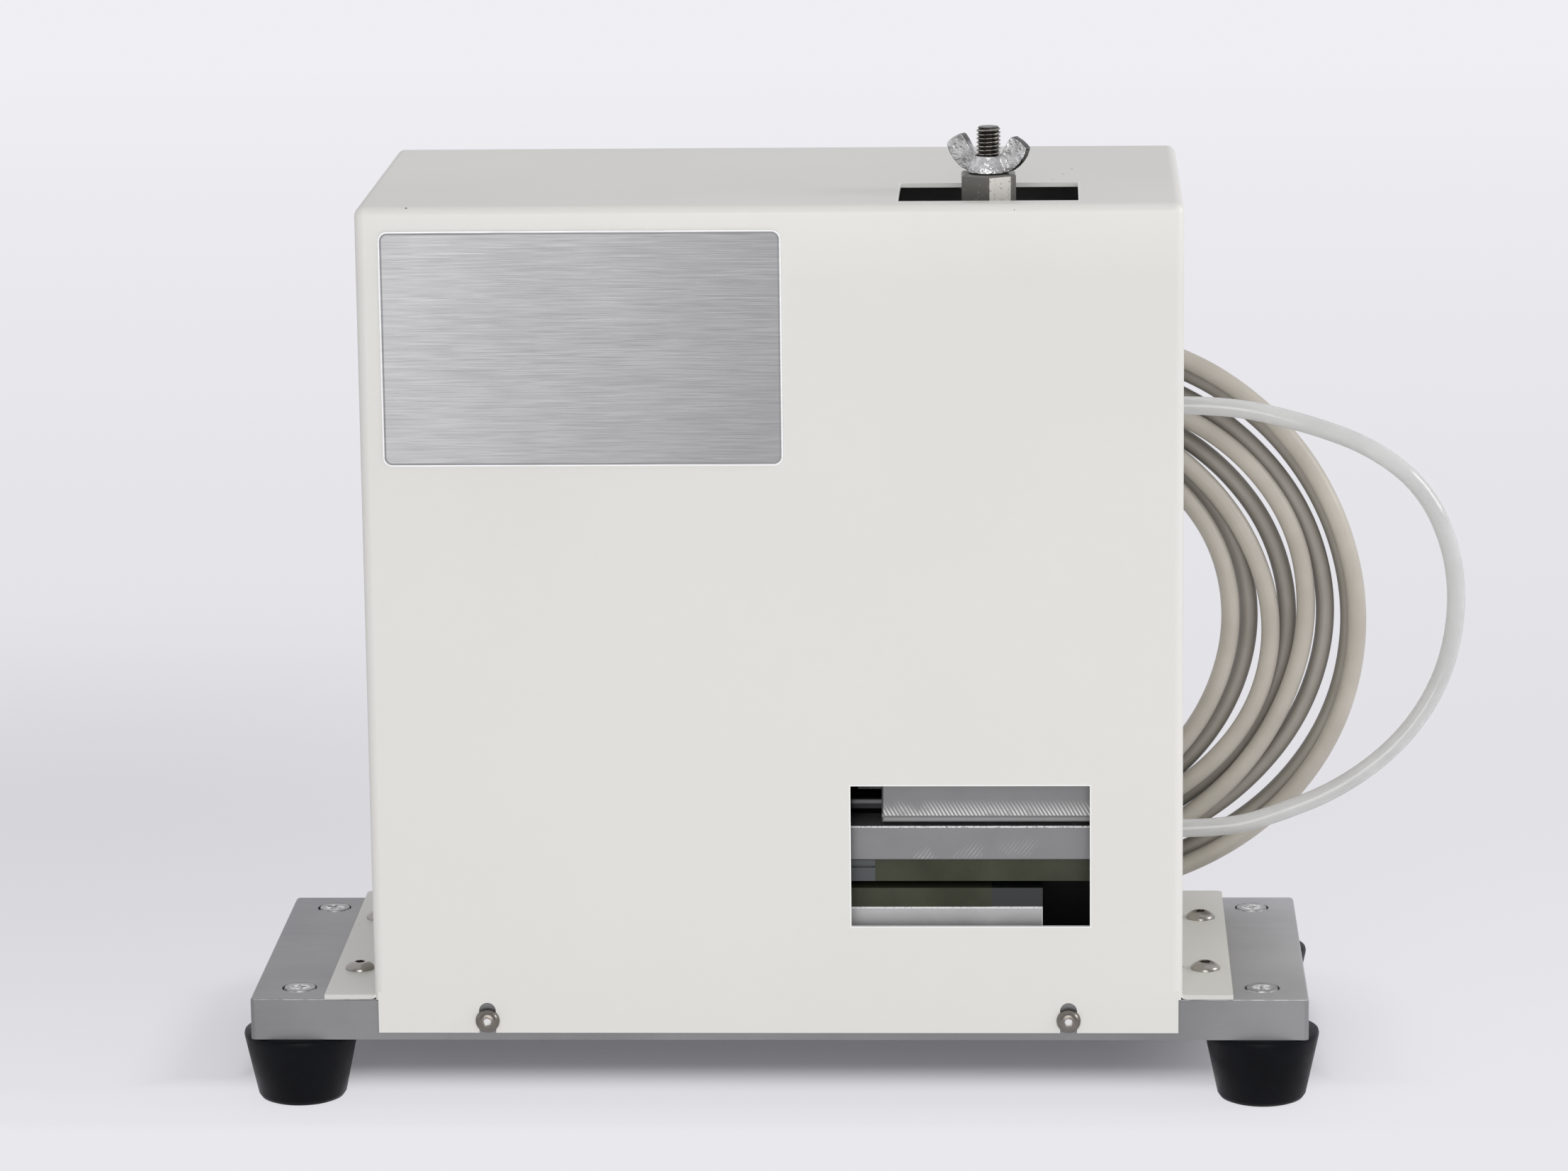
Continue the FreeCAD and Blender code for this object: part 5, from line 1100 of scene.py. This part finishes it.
LABEL_MIDDLE = (-0.05925, -0.0729, 0.24925)
LABEL_HALF = (0.06325, 0.0, 0.0375)
LABEL_CORNER = 0.003
label_steel = satin_finish(
    "label_steel",
    (0.572, 0.572, 0.568),
    (0.502, 0.502, 0.502),
    0.36,
    (75.0, 75.0, 6400.0),
    streaks=2.1,
    metallic=0.8,
    bump=0.00001,
)
spot = own_place(label_steel)
inset = (LABEL_HALF[0] - LABEL_CORNER, 1.0, LABEL_HALF[2] - LABEL_CORNER)
# A painted highlight on the rim, and a painted shade in the pressed line just inside it.
edge = sum_up("SUBTRACT", LABEL_CORNER, gap_to_box(spot, LABEL_MIDDLE, inset))
rim = spread(edge, 0.0006, 0.0004)
line = times(spread(edge, 0.0005, 0.0006), spread(edge, 0.0012, 0.001))
# The plate is painted darker towards its right and bottom, a painted reflection.
along = split(move("SUBTRACT", spot, LABEL_MIDDLE))
tilt = sum_up("MULTIPLY_ADD", along["Z"], -0.35, along["X"])
tilt = spread(tilt, -0.06, 0.065, 0.0, 0.68)
painted_sheen = blend_colour(tilt, colour_of(label_steel), (0.28, 0.28, 0.28, 1))
lined = blend_colour(line, painted_sheen, (0.3, 0.3, 0.3, 1))
drive(label_steel, Base_Color=blend_colour(rim, lined, (0.84, 0.84, 0.84, 1)))
dress(label_steel, "front_plate")

# ---- Screws ----
# Stainless button heads with hexagon sockets hold the sheets together, the flanges down and the
# saddle on. The feet hang on cross-recessed pan heads, sunk level with the base plate. One small
# dark screw sits in the plate's right end.

FULL_TURN = 6.2832


def new_field_tree():
    """The tree that sets a screw on every point, along the point's own direction."""
    tree = bpy.data.node_groups.new("screw_rows", "GeometryNodeTree")
    face = tree.interface
    face.new_socket("Geometry", in_out="INPUT", socket_type="NodeSocketGeometry")
    for name, value in (
        ("Head radius", 0.0038),
        ("Head height", 0.0022),
        ("Crown", 0.4),
        ("Socket radius", 0.00145),
        ("Socket depth", 0.0013),
        ("Cross width", 0.001),
        ("Shank radius", 0.002),
        ("Shank length", 0.006),
    ):
        socket = face.new_socket(name, in_out="INPUT", socket_type="NodeSocketFloat")
        socket.default_value = value
    for name, kind in (("Cross recess", "Bool"), ("Seed", "Int"), ("Finish", "Material")):
        face.new_socket(name, in_out="INPUT", socket_type="NodeSocket" + kind)
    face.new_socket("Geometry", in_out="OUTPUT", socket_type="NodeSocketGeometry")
    given = tree.nodes.new("NodeGroupInput").outputs

    def step(kind, inputs=None, **settings):
        """What comes first out of a new geometry node."""
        return put_node(tree, "GeometryNode" + kind, inputs, **settings).outputs[0]

    def turn_step(kind, inputs, **settings):
        """What comes out of a new node that works on turns."""
        return put_node(tree, "FunctionNode" + kind, inputs, **settings).outputs

    def corner(x=0.0, y=0.0, z=0.0):
        """A place from its three numbers."""
        return add_node("CombineXYZ", {"X": x, "Y": y, "Z": z})[0]

    def drum(radius, depth, corners, parts=1):
        """A cylinder with its middle at the screw's seat."""
        sizes = {"Vertices": corners, "Side Segments": parts, "Radius": radius, "Depth": depth}
        return step("MeshCylinder", sizes)

    def raised(geometry, height):
        """The same geometry further up the screw."""
        return step("Transform", {"Geometry": geometry, "Translation": corner(z=height)})

    def united(*meshes):
        """One closed mesh made from several."""
        union = put_node(tree, "GeometryNodeMeshBoolean", operation="UNION")
        for mesh in meshes:
            tree.links.new(mesh, union.inputs["Mesh 2"])
        return union.outputs[0]

    tall = given["Head height"]
    head = raised(drum(given["Head radius"], tall, 32, 6), times(tall, 0.5))
    spot = split(step("InputPosition"))
    share = sum_up("MAXIMUM", sum_up("DIVIDE", spot["Z"], tall), 0.0)
    narrow = times(sum_up("POWER", share, 2.3), given["Crown"])
    narrow = sum_up("SUBTRACT", 1.0, narrow)
    domed = corner(times(spot["X"], narrow), times(spot["Y"], narrow), spot["Z"])
    head = step("SetPosition", {"Geometry": head, "Position": domed})
    deep = times(given["Socket depth"], 2.0)
    wide = times(given["Socket radius"], 2.0)
    hexagon = drum(given["Socket radius"], deep, 6)
    cross = united(
        step("MeshCube", {"Size": corner(wide, given["Cross width"], deep)}),
        step("MeshCube", {"Size": corner(given["Cross width"], wide, deep)}),
    )
    recess = {"Switch": given["Cross recess"], "False": hexagon, "True": cross}
    recess = raised(step("Switch", recess, input_type="GEOMETRY"), tall)
    head = step("MeshBoolean", {"Mesh 1": head, "Mesh 2": recess}, operation="DIFFERENCE")
    shank = drum(given["Shank radius"], given["Shank length"], 20)
    screw = united(head, raised(shank, times(given["Shank length"], -0.499)))
    facing = step("InputNamedAttribute", {"Name": "facing"}, data_type="FLOAT_VECTOR")
    aim = turn_step("AlignRotationToVector", {"Vector": facing}, axis="Z")[0]
    spin = turn_step("RandomValue", {"Max": FULL_TURN, "Seed": given["Seed"]}, data_type="FLOAT")
    spin = [out for out in spin if out.enabled and out.type == "VALUE"][0]
    spin = turn_step("AxisAngleToRotation", {"Axis": (0, 0, 1), "Angle": spin})[0]
    aim = turn_step("RotateRotation", {"Rotation": aim, "Rotate By": spin}, rotation_space="LOCAL")[0]
    placed = {"Points": given["Geometry"], "Instance": screw, "Rotation": aim}
    real = step("RealizeInstances", {"Geometry": step("InstanceOnPoints", placed)})
    done = step("SetMaterial", {"Geometry": real, "Material": given["Finish"]})
    tree.links.new(done, tree.nodes.new("NodeGroupOutput").inputs[0])
    return tree


screw_rows = new_field_tree()


def set_screws(name, node, slot, finish, facing, places, **sizes):
    """Screws of one kind at several places, in front of the solids that they stand for."""
    data = bpy.data.meshes.new(name)
    data.from_pydata(places, [], [])
    directions = data.attributes.new("facing", "FLOAT_VECTOR", "POINT")
    for entry in directions.data:
        entry.vector = facing
    row = new_object(name, data)
    setting = row.modifiers.new("screws", "NODES")
    setting.node_group = screw_rows
    items = [item for item in screw_rows.interface.items_tree if item.in_out == "INPUT"]
    sockets = {item.name: item.identifier for item in items}
    for key, value in sizes.items():
        setting[sockets[key.replace("_", " ")]] = value
    setting[sockets["Seed"]] = len(name)
    setting[sockets["Finish"]] = finish
    bake_modifiers(row)
    row.data.set_sharp_from_angle(angle=math.radians(35))
    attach(row, "base")
    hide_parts(node)


FRONT_SCREW_X = 0.0935
FRONT_SCREW_Z = 0.0298
front_screw_steel = clouded_finish("front_screw_steel", (0.24, 0.22, 0.195), 0.8, 0.28, 1.0, scale=200.0)
# The floor of each socket is painted near white and dull, a painted highlight.
flat = move("MULTIPLY", move("ABSOLUTE", own_place(front_screw_steel)), (1, 0, 1))
out = move("DISTANCE", flat, (FRONT_SCREW_X, 0.0, FRONT_SCREW_Z))
socket_highlight = spread(out, 0.00135, 0.0011)
bright = blend_colour(socket_highlight, colour_of(front_screw_steel), (0.95, 0.94, 0.92, 1))
drive(front_screw_steel, Base_Color=bright)
drive(front_screw_steel, Metallic=spread(socket_highlight, 0.0, 1.0, 1.0, 0.2))
M4_BUTTON = dict(
    Head_radius=0.0039, Head_height=0.0022, Socket_radius=0.00145, Socket_depth=0.0011,
    Shank_radius=0.002, Shank_length=0.008,
)
M5_BUTTON = dict(
    Head_radius=0.0048, Head_height=0.0023, Crown=0.5, Socket_radius=0.00173, Socket_depth=0.0014,
    Shank_radius=0.0025, Shank_length=0.0095,
)
set_screws(
    "front_screws", "cover_front_screws", "stainless_screws", front_screw_steel, (0, -1, 0),
    [(x, -0.0725, FRONT_SCREW_Z) for x in (-FRONT_SCREW_X, FRONT_SCREW_X)], **M4_BUTTON,
)
set_screws(
    "flange_screws", "cover_flange_screws", "stainless_screws", screw_steel, (0, 0, 1),
    [(x, y, 0.038) for x in (-0.1382, 0.1382) for y in (-0.03954, 0.02304)], **M5_BUTTON,
)
for name, node, places in (
    ("panel_screws", "rear_screws", [(x, 0.056, 0.02975) for x in (-0.1, 0, 0.1)]),
    ("top_lip_screws", "lip_screws", [(x, 0.0575, 0.28675) for x in (-0.09, 0.09)]),
    ("saddle_fixing_screws", "saddle_screws", [(x, 0.0572, 0.128) for x in (-0.02149, 0.0322)]),
):
    set_screws(name, node, "stainless_screws", screw_steel, (0, 1, 0), places, **M4_BUTTON)
set_screws(
    "side_plug_screw", "side_screw", "dark_steel", dark_steel, (1, 0, 0),
    [(0.1705, 0.0135, 0.02975)], Head_radius=0.00285, Head_height=0.0017, Socket_radius=0.00115,
    Socket_depth=0.001, Shank_radius=0.0015, Shank_length=0.008,
)
foot_screw_steel = clouded_finish("foot_screw_steel", (0.36, 0.36, 0.365), 0.85, 0.34, 0.6, scale=300.0)
# The head's top and the middle of its crown get near white spots through noise, painted highlights.
spot = own_place(foot_screw_steel)
painted_glints = spread(split(spot)["Z"], PLATE_TOP - 0.0001, PLATE_TOP - 0.0004)
glints = noise(spot, 700.0, 2.0)
off = beyond_box(spot, (0, FEET_MIDDLE_Y, 0), (FOOT_X, FEET_HALF_Y, 0))
off = move("LENGTH", move("MULTIPLY", off, (1, 1, 0)))
crown = spread(off, 0.0034, 0.0029)
painted_glints = times(painted_glints, spread(glints, 0.4, 0.55, 0.4, 1.0))
crown = times(crown, spread(glints, 0.45, 0.52, 0.1, 0.85))
painted_glints = sum_up("MAXIMUM", painted_glints, crown)
bright = blend_colour(painted_glints, colour_of(foot_screw_steel), (0.96, 0.96, 0.95, 1))
drive(foot_screw_steel, Base_Color=bright, Metallic=spread(painted_glints, 0.0, 1.0, 0.6, 0.1))
set_screws(
    "foot_fixing_screws", "foot_screws", "stainless_screws", foot_screw_steel, (0, 0, 1),
    [(x, y, 0.0335) for x, y in FOOT_SPOTS], Cross_recess=True,
    Head_radius=0.0054, Head_height=0.003, Crown=0.08, Socket_radius=0.0027, Socket_depth=0.0016,
    Cross_width=0.0013, Shank_radius=0.0025, Shank_length=0.0299,
)

# ---- Hose grommets ----
# Two turned bushes of milky nylon, pressed into the right wall, that keep the sheet's edge off
# the hose.

nylon = clouded_finish("white_nylon", (0.74, 0.73, 0.71), 0.9, 0.3, scale=200.0, Subsurface_Weight=0.2)
dress(nylon, "hose_grommets")

# ---- Cable saddle ----
# A strap of zinc plated sheet steel, bent over the coil's left side and screwed to the panel.

saddle_steel = satin_finish(
    "saddle_steel", (0.6, 0.6, 0.59), (0.46, 0.46, 0.45), 0.3, (500.0, 500.0, 30.0), 0.35
)
dress(saddle_steel, "coil_saddle")

# ---- Cable plug ----
# A moulded modular plug of clear polycarbonate, with eight gold contacts, a springy latch and a
# soft clear boot over the cable.

PLUG_AHEAD = (Vector(TAIL_POINTS[2]) - Vector(TAIL_POINTS[1])).normalized()
PLUG_WIDTH = 0.0117
PLUG_THICKNESS = 0.008
PLUG_LENGTH = 0.022
BOOT_LENGTH = 0.016
BOOT_RADIUS = 0.0045
CONTACTS = 8
CONTACT_SPACING = 0.00102
CONTACT_SIZE = (0.00036, 0.0023, 0.0056)

plug_turn = Vector((0, 0, 1)).rotation_difference(PLUG_AHEAD).to_matrix().to_4x4()
plug_place = Matrix.Translation(TAIL_POINTS[2]) @ plug_turn
plug_front = BOOT_LENGTH + PLUG_LENGTH
plug_build = bmesh.new()
half_width = PLUG_WIDTH / 2
half_thick = PLUG_THICKNESS / 2
top = half_thick - 0.0016
lip = half_thick - 0.0004
side_profile = [
    (-half_thick, BOOT_LENGTH), (top, BOOT_LENGTH), (top, plug_front - 0.007),
    (lip, plug_front - 0.0055), (lip, plug_front - 0.0035), (top, plug_front - 0.0035),
    (top, plug_front), (-half_thick, plug_front),
]
skin_bar(
    plug_build,
    [[(side * half_width, across, along) for across, along in side_profile] for side in (-1, 1)],
)
bmesh.ops.bevel(
    plug_build, geom=plug_build.edges[:], offset=0.0003, segments=2, profile=0.6, affect="EDGES"
)
latch = [
    (half_thick - 0.0018, plug_front - 0.002), (half_thick - 0.0008, plug_front - 0.0035),
    (half_thick + 0.0002, BOOT_LENGTH + 0.003), (half_thick - 0.0008, BOOT_LENGTH + 0.003),
    (half_thick - 0.0022, plug_front - 0.0045),
]
skin_bar(
    plug_build,
    [[(side * half_width * 0.5, across, along) for across, along in latch] for side in (-1, 1)],
)
BOOT_PROFILE = [
    (0.0034, 0.0), (BOOT_RADIUS, 0.0008), (BOOT_RADIUS, 0.011), (0.0041, 0.0125),
    (0.0041, BOOT_LENGTH + 0.0005), (0.0034, BOOT_LENGTH + 0.0005),
]
join_rings(plug_build, turned_rings(BOOT_PROFILE, 28))
plug_build.transform(plug_place)
plug = new_piece("modular_plug", plug_build)
clear_plastic = clouded_finish(
    "clear_plug", (0.86, 0.88, 0.89), 0.92, 0.12, scale=150.0, Transmission_Weight=0.8, IOR=1.58
)
plug.data.materials.append(clear_plastic)
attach(plug, "base")
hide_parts("cable_plug")

contact_build = bmesh.new()
for i in range(CONTACTS):
    across = (i - (CONTACTS - 1) / 2) * CONTACT_SPACING
    middle = (across, 0.00105 - half_thick, plug_front - 0.0034)
    place = Matrix.Translation(middle) @ Matrix.Diagonal((*CONTACT_SIZE, 1))
    bmesh.ops.create_cube(contact_build, size=1, matrix=place)
contact_build.transform(plug_place)
contacts = new_piece("plug_contacts", contact_build, smooth=False)
gold = clouded_finish("plug_gold", (0.83, 0.6, 0.25), 0.8, 0.22, 1.0, scale=900.0)
contacts.data.materials.append(gold)
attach(contacts, "base")
